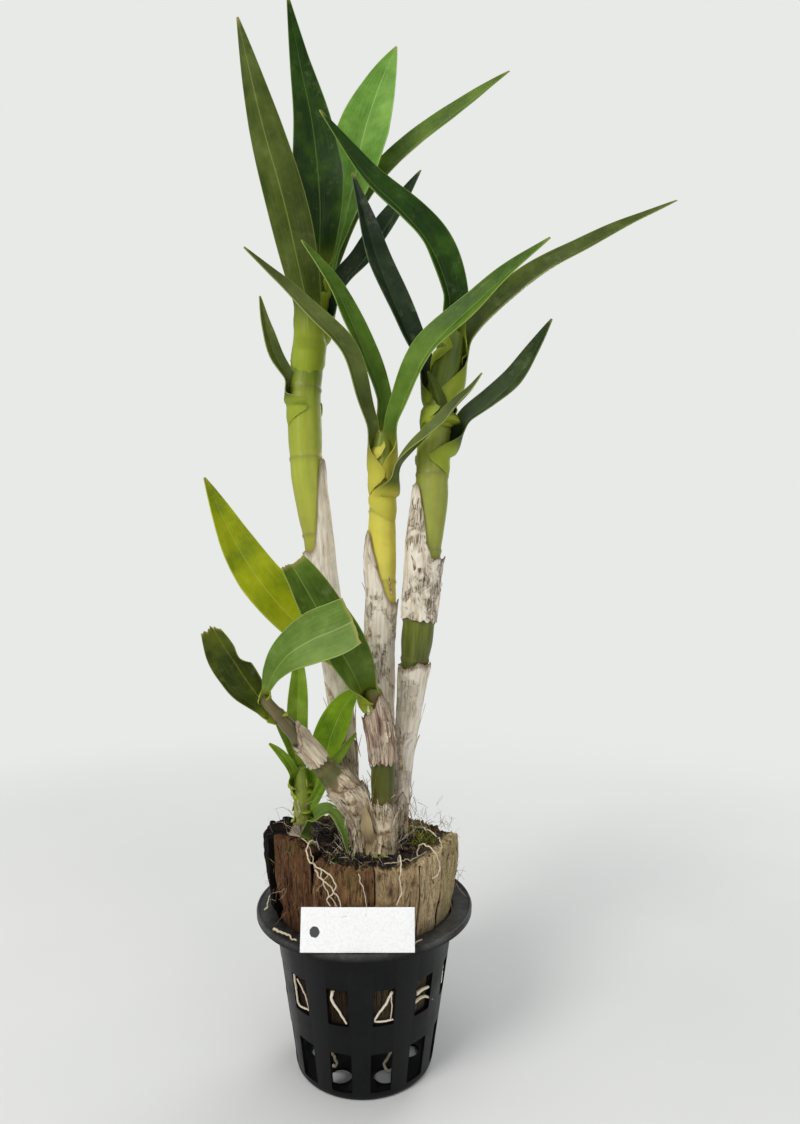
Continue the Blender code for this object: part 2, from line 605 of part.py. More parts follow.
def make_medium(rng, cutters, collection, material):
    """The fibrous plug in the husk, lumpy on top and below, with a hole for each cane."""
    bm = bmesh.new()
    bmesh.ops.create_uvsphere(bm, u_segments=MEDIUM_SEGMENTS, v_segments=MEDIUM_RINGS, radius=1.0)
    side = {MEDIUM_TOP_RINGS: (MEDIUM_TOP_R, MEDIUM_TOP_Z - MEDIUM_EDGE_DROP),
            MEDIUM_TOP_RINGS + 1: (MEDIUM_TOP_R, POT_HEIGHT),
            MEDIUM_TOP_RINGS + 2: (MEDIUM_FOOT_R, HUSK_FOOT_Z)}
    last_side = max(side)
    for vert in bm.verts:
        ring = round(math.acos(max(-1.0, min(1.0, vert.co.z))) / math.pi * MEDIUM_RINGS)
        angle = math.atan2(vert.co.y, vert.co.x)
        if ring < MEDIUM_TOP_RINGS:
            radius = MEDIUM_TOP_R * ring / MEDIUM_TOP_RINGS
            z = MEDIUM_TOP_Z + rng.uniform(-MEDIUM_LUMP, MEDIUM_LUMP)
        elif ring <= last_side:
            radius, z = side[ring]
        else:
            radius = MEDIUM_FOOT_R * (MEDIUM_RINGS - ring) / (MEDIUM_RINGS - last_side)
            z = MEDIUM_FOOT_Z + rng.uniform(-MEDIUM_LUMP, MEDIUM_LUMP)
        vert.co = (radius * math.cos(angle), radius * math.sin(angle), z)
    bmesh.ops.triangulate(bm, faces=bm.faces, quad_method="FIXED")
    medium = add_object("potting_medium", mesh_from(bm, "potting_medium"), collection, material,
                        smooth=False)
    for cutter in cutters.values():
        cut(medium, cutter)
    return medium


# Pale roots: over the husk's front, and below the medium down to the pot's floor
ROOT_R = 0.9
ROOT_TAPER = 0.3
ROOT_STEP = 4.0
ROOT_LEAST_STEPS = 6
ROOT_SIDES_RESOLUTION = 1
ROOTS = {
    "root_over_left": [(-19, -28.5, 102.9), (-19.6, -29.3, 112), (-22, -33.5, 115.4), (-23.2, -38.6, 114),
                       (-22.2, -41, 110), (-18.8, -42.6, 107.8), (-14.3, -44.4, 106.3), (-11.2, -45.3, 103.4),
                       (-10.6, -45.4, 98.9), (-14, -44.5, 94.9), (-12.6, -44.8, 92)],
    "root_over_centre": [(16.2, -29.6, 102.9), (16.6, -31, 107.5), (17.2, -37, 109.2), (17.4, -43.4, 107),
                         (17, -43.5, 101.6), (17.6, -43.1, 97), (15.5, -44, 92)],
    "root_over_right": [(25.1, -24.2, 102.9), (25.4, -24.4, 109.3), (29, -28.6, 111.6), (32.4, -32.4, 109.8),
                        (34, -31.8, 106.6), (34.6, -31.1, 102.6), (33.4, -32.5, 99.8), (31, -34.7, 99.4)],
    "root_below_1": [(-14, -12, 28), (-18, -15, 18), (-12, -20, 9), (-16, -15, 3)],
    "root_below_2": [(9, -16, 28), (15, -20, 19), (10, -24, 10), (18, -20, 3)],
    "root_below_3": [(12, 14, 28), (18, 10, 18), (12, 18, 9), (17, 16, 3)],
    "root_below_4": [(-12, 14, 28.8), (-8, 20, 17), (-15, 16, 8), (-10, 21, 3)],
}


def make_root(name, points, collection, material):
    route = Route(points)
    steps = max(ROOT_LEAST_STEPS, round(route.length / ROOT_STEP))
    places = [route.at(i / steps) for i in range(steps + 1)]
    radii = [ROOT_R * (1.0 - ROOT_TAPER * i / steps) for i in range(steps + 1)]
    return add_object(name, tube_mesh(name, places, radii, ROOT_SIDES_RESOLUTION), collection, material)


def make_card(collection, material):
    bm = bmesh.new()
    bmesh.ops.create_cube(bm, size=1.0)
    bmesh.ops.scale(bm, vec=(CARD_WIDTH, CARD_THICKNESS, CARD_HEIGHT), verts=bm.verts)
    bmesh.ops.translate(bm, vec=(0, 0, CARD_HEIGHT / 2), verts=bm.verts)
    card = add_object("label_card", mesh_from(bm, "label_card"), collection, material, smooth=False)
    card.location = (CARD_OFFSET_X * MM, CARD_FOOT_Y * MM, (POT_HEIGHT + FLANGE_LIP + CARD_GAP) * MM)
    card.rotation_euler = (-math.radians(CARD_LEAN_DEG), 0, 0)
    return card


def main():
    clear_scene()
    parts = make_collection("dendrobium_orchid")
    cutter_collection = make_collection("cutters")
    materials = {name: make_material(name) for name in COLOURS}
    rng = random.Random(11)
    make_pot(parts, cutter_collection, materials["pot_plastic"])
    cutters = make_canes(parts, cutter_collection, materials["green_cane"])
    make_medium(rng, cutters, parts, materials["medium"])
    for name, spec in HUSK_PIECES.items():
        charred = name == "husk_charred"
        material = materials["charred_husk" if charred else "husk"]
        make_husk_piece(name, spec, rng, parts, material, CHARRED_BULGE if charred else 0.0)
    for name, spec in SHEATHS.items():
        make_sheath(name, spec, rng, parts, materials["papery_sheath"])
    for name, spec in LEAVES.items():
        make_leaf(name, spec, cutters, parts, materials["leaf"])
    for name, points in ROOTS.items():
        make_root(name, points, parts, materials["root"])
    make_card(parts, materials["card"])


main()
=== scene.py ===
"""Visual model of a dendrobium orchid in its net pot.

Laid out as a Blender add-on and run as a script. Lengths in the tables are in millimetres and
are turned into metres where a mesh is shaped. The plant's front faces -Y and +Z is up.
"""
import math
import random

import bpy
from bpy.props import FloatProperty, FloatVectorProperty, IntProperty, PointerProperty
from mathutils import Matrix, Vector, noise


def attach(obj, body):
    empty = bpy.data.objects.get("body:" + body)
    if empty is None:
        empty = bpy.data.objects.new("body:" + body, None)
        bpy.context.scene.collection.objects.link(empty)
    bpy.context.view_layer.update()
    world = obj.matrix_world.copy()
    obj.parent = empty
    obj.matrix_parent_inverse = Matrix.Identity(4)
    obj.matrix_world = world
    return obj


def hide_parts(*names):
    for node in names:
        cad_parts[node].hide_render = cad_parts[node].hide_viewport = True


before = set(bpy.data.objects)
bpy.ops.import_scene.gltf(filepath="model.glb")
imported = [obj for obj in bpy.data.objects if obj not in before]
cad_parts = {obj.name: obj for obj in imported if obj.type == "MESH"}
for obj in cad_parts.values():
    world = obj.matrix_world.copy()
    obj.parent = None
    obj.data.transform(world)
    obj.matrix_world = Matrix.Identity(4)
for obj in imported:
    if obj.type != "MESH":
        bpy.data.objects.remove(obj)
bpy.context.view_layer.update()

bl_info = {
    "name": "Dendrobium Orchid",
    "version": (1, 0, 0),
    "blender": (4, 5, 0),
    "location": "View3D > Sidebar > Orchid",
    "description": "Builds a dendrobium orchid in coconut husk and a slotted net pot",
    "category": "Add Mesh",
}

MM = 0.001

# Net pot
POT_HEIGHT = 74.0
POT_MOUTH_R = 42.5
POT_BASE_R = 32.6
POT_WALL = 1.4
POT_FLOOR = 1.6
FLANGE_R = 51.6
FLANGE_LIP = 0.6
SLOT_COUNT = 12
SLOT_WIDTH = 10.0
SLOT_ROWS = ((3.8, 22.6), (36.0, 53.0))
DRAIN_COUNT = 6
DRAIN_RING_R = 20.5
DRAIN_R = 5.5

# Husk and medium
HUSK_FOOT_Z = 34.0
HUSK_TOP_R = 45.4
MEDIUM_FOOT_Z = 30.0
MEDIUM_TOP_Z = 101.0
MEDIUM_FOOT_R = 30.4
MEDIUM_TOP_R = 36.2
# How far from the axis the chips, fibres and moss lie
CHIP_REACH = 34
FIBRE_REACH = 35
MOSS_REACH = 37
# Moss on the medium: place, spread and how many
MOSS_TUFTS = ((24, 12, 6, 260), (31, 0, 4.5, 190), (-33, -12, 4, 60), (17, 20, 6, 130), (-12, -30, 5, 40),
              (30, -18, 3.5, 60), (4, 30, 7, 90))
# Radius at which lengths round the husk are counted, and that of its outer face
HUSK_MIDDLE_R = 45
HUSK_FACE_R = 44.6
# Loose fibres on the husk, and the faces round and through the plug of medium
HUSK_FIBRES = 420
MEDIUM_FACES = (140, 90)
# Shares of a husk slab's section that run up its inside and reach its outer edge
INSIDE_END = 0.2
RIM_END = 0.36

# Leaves
BLADE_ROOT = 3.4
BLADE_TIP = 0.5
BLADE_SWELL = 0.85
BLADE_TAPER = 1.9
OPENING_SHARE = 0.625
FOLD_POWER = 1.15
SLOW_SWELLS = {"leaning_leaf_2": 1.4}
RAGGED_ENDS = {"leaning_leaf_1": 0.07, "short_leaf_2": 0.02, "leaning_leaf_2": 0.012}
# Blades that run to a long slender point
SLENDER_TAPERS = {"left_leaf_3": 1.0, "left_leaf_1": 1.4}
CLASP_TURN = 2.45
SLIM_CANES = ("cane_leaning", "shoot")
# Leaves shorter than this are slim, too
SLIM_LENGTH = 45
# How far a leaf's base runs down its cane, and over what length it comes loose
CLASP_LENGTH = 15.0
SLIM_CLASP = 3.0
LOOSENING = 26.0
SLIM_LOOSENING = 8.0

# Label card
CARD_WIDTH = 48.0
CARD_HEIGHT = 17.6
CARD_THICKNESS = 0.6
CARD_FOOT = (-0.8, -49.9, 75.0)
CARD_LEAN_DEG = 12.0
CARD_DOT = (-18.9, 82.8)

FRONT = Vector((0.0, -1.0, 0.0))
# Points closer than this, in metres, are merged
WELD_GAP = 0.000005
# Canes are coloured by height, in shares of this span above their feet
CANE_FOOT_Z = 95
CANE_SPAN = 260

# Canes by the node each one replaces: axis points, radius at each, heights of the node rings
CANES = {
    "cane_left": (
        [(-8, 14, 94), (-9, 14, 118), (-11, 15, 148), (-14, 15, 173), (-19, 15, 209), (-24, 15, 245),
         (-27, 15, 264), (-30, 15, 284), (-31, 15, 305), (-31, 15, 325), (-28, 15, 353), (-26, 16, 375),
         (-25, 17, 385)],
        [5.0, 5.0, 5.2, 5.6, 6.4, 7.2, 7.8, 8.3, 8.6, 8.6, 7.6, 6.0, 4.0],
        (126, 170, 214, 252, 290, 325, 352)),
    "cane_middle": (
        [(10, 12, 94), (9, 11, 139), (7, 9, 169), (7, 8, 199), (8, 8, 219), (8, 8, 239), (8, 8, 259),
         (8, 8, 279), (8, 8, 296), (9, 8, 304)],
        [4.6, 5.4, 6.2, 6.8, 7.0, 7.1, 6.9, 6.1, 5.2, 3.8],
        (130, 164, 197, 228, 263, 277)),
    "cane_right": (
        [(16, 2, 94), (17, 2, 122), (19, 2, 146), (22.5, 1, 176), (25, 0, 199), (27, 0, 220), (29, 0, 246),
         (32, 0, 268), (33, 0, 292), (35, 0, 307), (38, 0, 326), (41, 0, 341), (44, 0, 352)],
        [3.4, 3.4, 4.1, 6.0, 7.7, 8.4, 8.4, 8.3, 7.8, 7.3, 7.4, 6.4, 4.4],
        (128, 158, 190.5, 209.5, 244, 280, 302, 322)),
    "cane_leaning": (
        [(-1, -12, 95), (-2, -13, 115), (-5, -14, 127), (-12, -15, 136), (-19, -17, 144), (-25, -19, 152),
         (-35, -23, 165), (-43, -26, 175), (-45, -27, 180)],
        [3.6, 4.2, 7.4, 7.2, 4.9, 4.2, 3.5, 2.7, 1.8],
        (112, 121, 128, 135, 142.5, 149, 158, 169)),
    "cane_short": (
        [(10, -14, 94), (9, -14, 127), (9, -14, 146), (7, -14, 162), (5, -14, 174), (4, -14, 180)],
        [5.0, 5.6, 5.9, 6.0, 5.0, 3.4],
        (108, 127.5, 146.5, 166)),
    "shoot": (
        [(-30, -3, 95), (-30, -3, 112), (-30, -3, 128), (-31, -3, 140)],
        [4.2, 4.6, 4.3, 3.0],
        (104, 113, 122, 131)),
}

# Colours up each cane by height, and the colour of its streaks
CANE_SKINS = {
    "cane_left": (((0.0, "#5a4c30"), (0.5, "#9a9038"), (0.6, "#a4a43c"), (0.72, "#a6ae3a"),
                   (0.84, "#94a02a"), (0.92, "#647a14"), (1.0, "#3c580c")), "#c6c85e"),
    "cane_middle": (((0.0, "#5a4c30"), (0.4, "#b0a448"), (0.48, "#dcd258"), (0.6, "#d8cc4c"),
                     (0.68, "#b4b444"), (0.74, "#8c9836"), (0.82, "#5d701c")), "#e8de78"),
    "cane_right": (((0.0, "#5a4c30"), (0.36, "#3f480a"), (0.45, "#5c6618"), (0.5, "#868a2c"),
                    (0.62, "#9aa040"), (0.74, "#8a9236"), (0.84, "#6a7c22"), (0.94, "#4a5e12")), "#bcc264"),
    "cane_leaning": (((0.0, "#4e3e2c"), (0.08, "#9a8468"), (0.15, "#8a7256"), (0.17, "#4c501c"),
                      (0.2, "#565a20"), (0.23, "#4a4a20"), (0.28, "#5c5030"), (0.33, "#7a7440")), "#b8a58c"),
    "cane_short": (((0.0, "#6a563e"), (0.1, "#7a6440"), (0.13, "#474a0c"), (0.19, "#454a0a"),
                    (0.22, "#4c3428"), (0.3, "#5c4030"), (0.33, "#7c8838")), "#8a8a3c"),
    "shoot": (((0.0, "#8a8448"), (0.06, "#98a04a"), (0.12, "#86982e"), (0.2, "#6a8426")), "#c0c47c"),
}

# Feet of the canes: place, radius and share of the hairs
CANE_FEET = (
    (8, -14, 5.5, 0.34), (-4, -13, 6, 0.2), (-30, -3, 4.5, 0.12), (19, 2, 4.5, 0.2), (10, 11, 5, 0.07),
    (-9, 14, 5, 0.07),
)

# Papery sheaths: cane, foot and top heights, height of the highest side, first and last angle and the
# angle of the highest side from the front towards +X, depth of the tears, how netted it is
SHEATHS = {
    "sheath_left": ("cane_left", 150, 244, 290, -165, 165, 70, 2.0, 0.15),
    "sheath_middle": ("cane_middle", 128, 219, 253, -168, 168, -60, 4.0, 0.9),
    "sheath_right_upper": ("cane_right", 211, 241, 275, -168, 168, -60, 6.0, 1.0),
    "sheath_right_lower": ("cane_right", 120, 186, 191, -168, 168, 40, 3.0, 0.5),
    "sheath_leaning": ("cane_leaning", 146.5, 154, 162, -155, 155, 60, 3.0, 0.5),
    "sheath_short": ("cane_short", 146, 167, 176, -168, 168, 40, 3.5, 0.6),
}
# Heights below which the canes are wrapped in dry fibrous skin
PAPER_TOPS = {"cane_left": 156, "cane_middle": 136, "cane_right": 124, "cane_leaning": 136, "cane_short": 126,
              "shoot": 99}
# Skins of the sheaths from their dark fibres to their bleached ridges
BLEACHED = ((0.28, "#8a745a"), (0.38, "#d0c0a6"), (0.54, "#efe5d3"), (0.8, "#fbf7ec"))
BROWNED = ((0.28, "#5c4632"), (0.4, "#ab9678"), (0.56, "#dccdb2"), (0.8, "#f2e8d6"))
FOLDED = ((0.3, "#33201a"), (0.42, "#6e5044"), (0.54, "#b09880"), (0.72, "#e6dac4"))
PAPER_SKINS = {"sheath_short": FOLDED, "sheath_leaning": BROWNED}
# Loose wraps of dry skin round the feet, read as the sheaths are
WRAPS = {
    "left_foot_wrap": ("cane_left", 98, 146, 154, -160, 165, 20, 4.0, 0.8),
    "middle_foot_wrap": ("cane_middle", 98, 122, 134, -165, 160, -10, 5.0, 0.8),
    "right_foot_wrap": ("cane_right", 98, 117, 126, -160, 160, 10, 4.0, 0.8),
    "right_upper_band": ("cane_right", 176, 187.5, 190, -170, 170, 60, 0.8, 0.3),
    "leaning_bulb_wrap": ("cane_leaning", 116, 131, 137, -170, 150, -40, 4.0, 1.0),
    "leaning_band_wrap": ("cane_leaning", 153, 157, 164, -150, 140, 70, 2.0, 0.4),
    "short_foot_wrap": ("cane_short", 98, 118, 128, -170, 160, 10, 4.0, 0.9),
    "shoot_scale": ("shoot", 99, 108, 114, -120, 130, -10, 2.0, 0.6),
}
# Peeling strips: cane, lowest and highest foot, how many, longest
STRIPS = (
    ("cane_left", 98, 160, 34, 26), ("cane_middle", 98, 150, 30, 24), ("cane_right", 98, 150, 34, 26),
    ("cane_leaning", 97, 128, 46, 14), ("cane_short", 97, 122, 44, 18), ("shoot", 97, 106, 12, 8),
    ("cane_middle", 190, 235, 10, 14), ("cane_right", 212, 240, 8, 12), ("cane_short", 150, 168, 10, 14),
)

# Leaves: cane, midrib, half width, share where widest, upper face at base and tip, fold at base and
# tip, width kept at the end, and the tone of the blade
LEAVES = {
    "left_leaf_1": ("cane_left", [
        (-31, 13, 317), (-38, 9, 327), (-44, 5, 338), (-48, 2, 351), (-51, 0, 367)],
        4.8, 0.45, (0.8, -0.5, 0.2), (0.5, -0.8, 0.3), 40, 22, 0.0, "grey_olive"),
    "left_leaf_2": ("cane_left", [
        (-28, 13, 345), (-29, 4, 365), (-33, -3, 386), (-38, -9, 409), (-47, -17, 442), (-57, -22, 486)],
        11.5, 0.4, (0, 1, 0.1), (0.2, 1, 0.1), 40, 25, 0.0, "olive"),
    "left_leaf_3": ("cane_left", [
        (-25, 17, 380), (-24, 18, 398), (-24, 19, 424), (-27, 15, 457), (-33, 7, 487), (-37, -4, 510)],
        14.5, 0.42, (0, -1, 0), (0.1, -1, 0), 30, 25, 0.0, "dark"),
    "left_leaf_4": ("cane_left", [
        (-24, 20, 374), (-17, 28, 396), (-8, 35, 438), (-2, 41, 471), (6, 46, 499), (15, 50, 523)],
        15.5, 0.58, (-0.6, -0.6, 0), (-0.2, -1, 0.2), 45, 12, 0.0, "bright"),
    "left_leaf_5": ("cane_left", [
        (-25, 20, 370), (-18, 34, 391), (-6, 44, 428), (9, 50, 453), (39, 55, 482), (79, 60, 516)],
        9.0, 0.64, (-0.5, -0.8, 0.3), (-0.3, -0.8, 0.5), 40, 25, 0.0, "fresh"),
    "left_leaf_6": ("cane_left", [
        (-27, 15, 350), (-17, 16, 368), (-10, 18, 381), (0, 22, 395), (14, 28, 420), (28, 34, 446)],
        8.5, 0.42, (-0.6, -0.7, 0.2), (-0.3, -0.9, 0.3), 40, 28, 0.0, "blue_dark"),
    "middle_leaf_1": ("cane_middle", [
        (8, 8, 282), (-1, 1, 312), (-10, -7, 339), (-30, -16, 359), (-42, -23, 369), (-52, -32, 377)],
        7.0, 0.45, (0.7, -0.5, 0.3), (0.4, -0.8, 0.5), 42, 26, 0.0, "grey_olive"),
    "middle_leaf_2": ("cane_middle", [
        (9, 9, 294), (7, 12, 320), (-2, 7, 344), (-12, 0, 366), (-22, -8, 380), (-29, -14, 388)],
        7.4, 0.42, (0.7, -0.6, 0.3), (0.5, -0.8, 0.2), 40, 26, 0.0, "mid"),
    "middle_leaf_3": ("cane_middle", [
        (9, 8, 285), (18, -4, 312), (31, -14, 337), (53, -25, 356), (67, -34, 367), (81, -44, 376)],
        9.0, 0.46, (-0.6, -0.6, 0.4), (-0.4, -0.8, 0.5), 42, 22, 0.0, "mid"),
    "middle_leaf_4": ("cane_middle", [
        (9, 7, 270), (17, -5, 284), (30, -14, 297), (42, -18, 309), (49, -22, 316), (54, -26, 323)],
        5.2, 0.5, (-0.7, 0.2, 0.4), (-0.4, -0.6, 0.6), 40, 28, 0.0, "grey_olive"),
    "right_leaf_1": ("cane_right", [
        (43, 0, 340), (40, -5, 366), (32, -8, 386), (19, -12, 401), (0, -18, 417), (-19, -28, 440)],
        12.0, 0.38, (0.5, -0.7, 0.2), (0.5, -0.8, 0.4), 40, 24, 0.0, "dark"),
    "right_leaf_2": ("cane_right", [
        (37, 1, 312), (27, 6, 337), (18, 8, 357), (6, 10, 388), (-1, 12, 412), (-7, 14, 434)],
        8.5, 0.45, (0.6, -0.7, 0.3), (0.4, -0.9, 0.2), 42, 26, 0.0, "blue_dark"),
    "right_leaf_3": ("cane_right", [
        (40, 1, 322), (52, 4, 347), (67, 8, 364), (90, 13, 384), (119, 20, 403), (164, 34, 430)],
        10.0, 0.3, (-0.6, -0.6, 0.4), (-0.4, -0.7, 0.6), 42, 24, 0.0, "olive"),
    "right_leaf_4": ("cane_right", [
        (35, 0, 290), (47, -2, 304), (62, -5, 315), (76, -10, 330), (87, -18, 350)],
        7.6, 0.5, (-0.7, -0.5, 0.3), (-0.5, -0.7, 0.4), 40, 24, 0.0, "blue_grey"),
    "right_leaf_5": ("cane_right", [
        (38, -3, 306), (34, -11, 318), (30, -13, 327)],
        3.6, 0.4, (0.3, 0.9, 0.2), (0.4, 0.9, 0.3), 35, 25, 0.0, "olive"),
    "short_leaf_1": ("cane_short", [
        (5, -13, 170), (-7, -8, 187), (-26, -6, 203), (-44, -10, 222), (-59, -16, 246), (-71, -26, 276)],
        12.5, 0.48, (0.5, -0.6, 0.3), (0.4, -0.8, 0.4), 40, 16, 0.0, "yellow_green"),
    "short_leaf_2": ("cane_short", [
        (4, -15, 173), (-4, -22, 187), (-13, -24, 203), (-23, -24, 221), (-33, -24, 238)],
        13.0, 0.42, (0.4, -0.6, 0.3), (0.5, -0.8, 0.3), 42, 24, 0.55, "fresh"),
    "leaning_leaf_1": ("cane_leaning", [
        (-40, -24, 168), (-50, -21.5, 180), (-57, -25, 192), (-61.5, -31.5, 202), (-65.5, -37, 211)],
        10.5, 0.55, (-0.4, -0.8, 0.4), (-0.4, -0.8, 0.5), 36, 26, 0.45, "dark_olive"),
    "leaning_leaf_2": ("cane_leaning", [
        (-43.5, -29.5, 177), (-41, -32.8, 183), (-37.6, -35, 190), (-31, -37, 198), (-21.5, -38, 204),
        (-11.2, -38.5, 208.5), (-3, -39, 212.5)],
        12.4, 0.8, (-0.3, -0.7, 0.3), (-0.3, -0.9, 0.3), 30, 10, 0.92, "mid_pale"),
    "shoot_leaf_1": ("shoot", [
        (-31, -1, 128), (-33, 7, 146), (-34, 10, 162), (-34, 13, 181), (-35, 17, 196)],
        5.6, 0.5, (0, -1, 0), (0.1, -1, 0.1), 40, 20, 0.0, "shoot"),
    "shoot_leaf_2": ("shoot", [
        (-31, -2, 126), (-32.5, -1, 140), (-35.8, -1, 150), (-40, -2, 158), (-44.5, -3, 165.5)],
        3.7, 0.5, (0.4, -0.9, 0.1), (0.4, -0.9, 0.2), 30, 22, 0.0, "shoot"),
    "shoot_leaf_3": ("shoot", [
        (-30, -1, 119), (-20, 2, 140), (-17, 4, 152), (-11, 5, 166), (-3, 5, 177)],
        8.6, 0.6, (-0.6, -0.7, 0.2), (-0.3, -0.9, 0.2), 30, 16, 0.0, "lime"),
    "shoot_leaf_4": ("shoot", [
        (-29, -5, 114), (-21, -6, 130), (-15, -5, 141), (-9, -4, 149), (-4, -4, 156)],
        2.8, 0.5, (-0.3, -0.9, 0.1), (-0.2, -1, 0.1), 25, 20, 0.0, "shoot"),
    "shoot_leaf_5": ("shoot", [
        (-31.5, -5, 131), (-34.5, -7.5, 140), (-39, -9, 147), (-44.7, -10, 152.5)],
        2.5, 0.5, (0.4, -0.9, 0.1), (0.3, -0.9, 0.3), 30, 22, 0.0, "shoot"),
    "shoot_leaf_6": ("shoot", [
        (-29, -7, 104), (-22, -16, 120), (-15, -18, 123), (-10, -20, 116), (-7, -21, 105)],
        3.8, 0.45, (-0.3, -0.2, 1), (0.8, -0.5, 0.5), 40, 22, 0.0, "mid_pale"),
    "base_bract": ("cane_short", [
        (7, -16, 103), (2, -22, 113), (1, -23, 127)],
        4.0, 0.4, (0.4, 0.9, 0), (0.3, 0.9, 0), 38, 30, 0.0, "bract"),
}

# Leaf tones: shadow, body, light and rib colour
LEAF_TONES = {
    # The dark and blue_dark tones are partly the leaves' own deep green and partly painted shade: darker
    # copies for leaves that sit in shadow within the cluster
    "dark": ("#0a1e02", "#1b3806", "#3a5a12", "#7d9a40"),
    "blue_dark": ("#09150a", "#182812", "#324228", "#5f7350"),
    "blue_grey": ("#1c2a10", "#34441f", "#4f5f38", "#838f5c"),
    "grey_olive": ("#39461a", "#525f28", "#6e7a3c", "#a8b068"),
    "olive": ("#26360a", "#445216", "#626e30", "#9aa650"),
    "dark_olive": ("#182602", "#34420a", "#626c14", "#a0a030"),
    "mid": ("#2a4808", "#4c6c18", "#6c8a34", "#a4b864"),
    "mid_pale": ("#42601a", "#5e7a2c", "#7c9446", "#aebc70"),
    "fresh": ("#2c4408", "#4a6416", "#6a8230", "#9cac54"),
    "bright": ("#3c6612", "#5a8626", "#7ca444", "#aac874"),
    "yellow_green": ("#5c7214", "#94a20c", "#b8c020", "#c8cc58"),
    "lime": ("#4c7410", "#84a818", "#a4c434", "#c8d868"),
    "shoot": ("#48620c", "#6a8a1c", "#90aa3c", "#b8ca64"),
    "bract": ("#8a7852", "#b09c74", "#cfc09c", "#8a6a44"),
}

# Colour of the room behind the plant
PALE_WALL = "#e8eae8"
# Where the photograph was taken from, with the height in the settings, and its field of view
CAMERA_X = 0.017
CAMERA_Y = -0.357
SENSOR_WIDTH = 36.0
FOCAL_PIXELS = 736
PHOTO_HEIGHT_PIXELS = 1124
FLOOR_WIDTH = 12000
LIGHT_AIM = Vector((0, 0, 0.25))
# Lights: place, width, share of the key light's power, colour
LIGHTS = {
    "key_softbox": ((-0.7, -0.85, 1.1), 0.6, 1.0, (1.0, 0.99, 0.97)),
    "fill_softbox": ((0.9, -0.9, 0.6), 1.0, 0.2, (0.97, 0.98, 1.0)),
    "top_softbox": ((-0.1, -0.15, 1.3), 0.7, 0.2, (1.0, 1.0, 1.0)),
    "back_softbox": ((0.6, 1.0, 0.8), 0.8, 0.5, (1.0, 1.0, 1.0)),
}

# Husk pieces: first and last angle from the front towards +X, top heights at the first end, the
# middle and the last end, tone and bulge
HUSK_PIECES = {
    "husk_front_left": (-66, -28, 112.0, 115.0, 111.5, "reddish", 0.0),
    "husk_front": (-28, 8, 107.8, 107.2, 106.4, "brown", 0.0),
    "husk_front_right": (8, 35, 106.2, 105.0, 105.6, "tan", 0.0),
    "husk_right": (35, 52, 105.6, 107.0, 108.6, "ochre", 0.0),
    "husk_side_right": (52, 92, 109.0, 110.5, 104.0, "pale", 0.0),
    "husk_back_right": (92, 170, 96.5, 100.0, 101.5, "reddish", 0.0),
    "husk_back_left": (170, 235, 101.0, 102.0, 103.5, "brown", 0.0),
    "husk_charred": (235, 294, 104.5, 109.0, 110.0, "charred", 3.2),
}
HUSK_TONES = {
    "reddish": ("#24130a", "#6e4a30", "#a87e54"),
    "brown": ("#26160b", "#8c6844", "#c49c6c"),
    "tan": ("#5e4526", "#d4b486", "#f4dcb0"),
    "ochre": ("#685034", "#e4c898", "#fbe8c4"),
    "pale": ("#4a3c22", "#ccb684", "#eedcae"),
    "charred": ("#030303", "#100d0a", "#30261e"),
}
# Knots that show on the front of the husk: angle from the front, height and radius
HUSK_KNOTS = ((4, 99, 3.4), (11, 103, 2.6), (17, 96, 3.0), (-16, 93, 3.6), (30, 99, 2.4), (-46, 96, 3.4))

# Roots over the husk and below the medium
ROOT_R = 0.9
ROOTS = {
    "root_over_left": [(-19, -28.5, 102.9), (-19.6, -29.3, 112), (-22, -33.5, 115.4), (-23.2, -38.6, 114),
                       (-22.2, -41, 110), (-18.8, -42.6, 107.8), (-14.3, -44.4, 106.3), (-11.2, -45.3, 103.4),
                       (-10.6, -45.4, 98.9), (-14, -44.5, 94.9), (-12.6, -44.8, 92)],
    "root_over_centre": [(16.2, -29.6, 102.9), (16.6, -31, 107.5), (17.2, -37, 109.2), (17.4, -43.4, 107),
                         (17, -43.5, 101.6), (17.6, -43.1, 97), (15.5, -44, 92)],
    "root_over_right": [(25.1, -24.2, 102.9), (25.4, -24.4, 109.3), (29, -28.6, 111.6), (32.4, -32.4, 109.8),
                        (34, -31.8, 106.6), (34.6, -31.1, 102.6), (33.4, -32.5, 99.8), (31, -34.7, 99.4)],
    "root_below_1": [(-14, -12, 28), (-18, -15, 18), (-12, -20, 9), (-16, -15, 3)],
    "root_below_2": [(9, -16, 28), (15, -20, 19), (10, -24, 10), (18, -20, 3)],
    "root_below_3": [(12, 14, 28), (18, 10, 18), (12, 18, 9), (17, 16, 3)],
    "root_below_4": [(-12, 14, 28.8), (-8, 20, 17), (-15, 16, 8), (-10, 21, 3)],
}

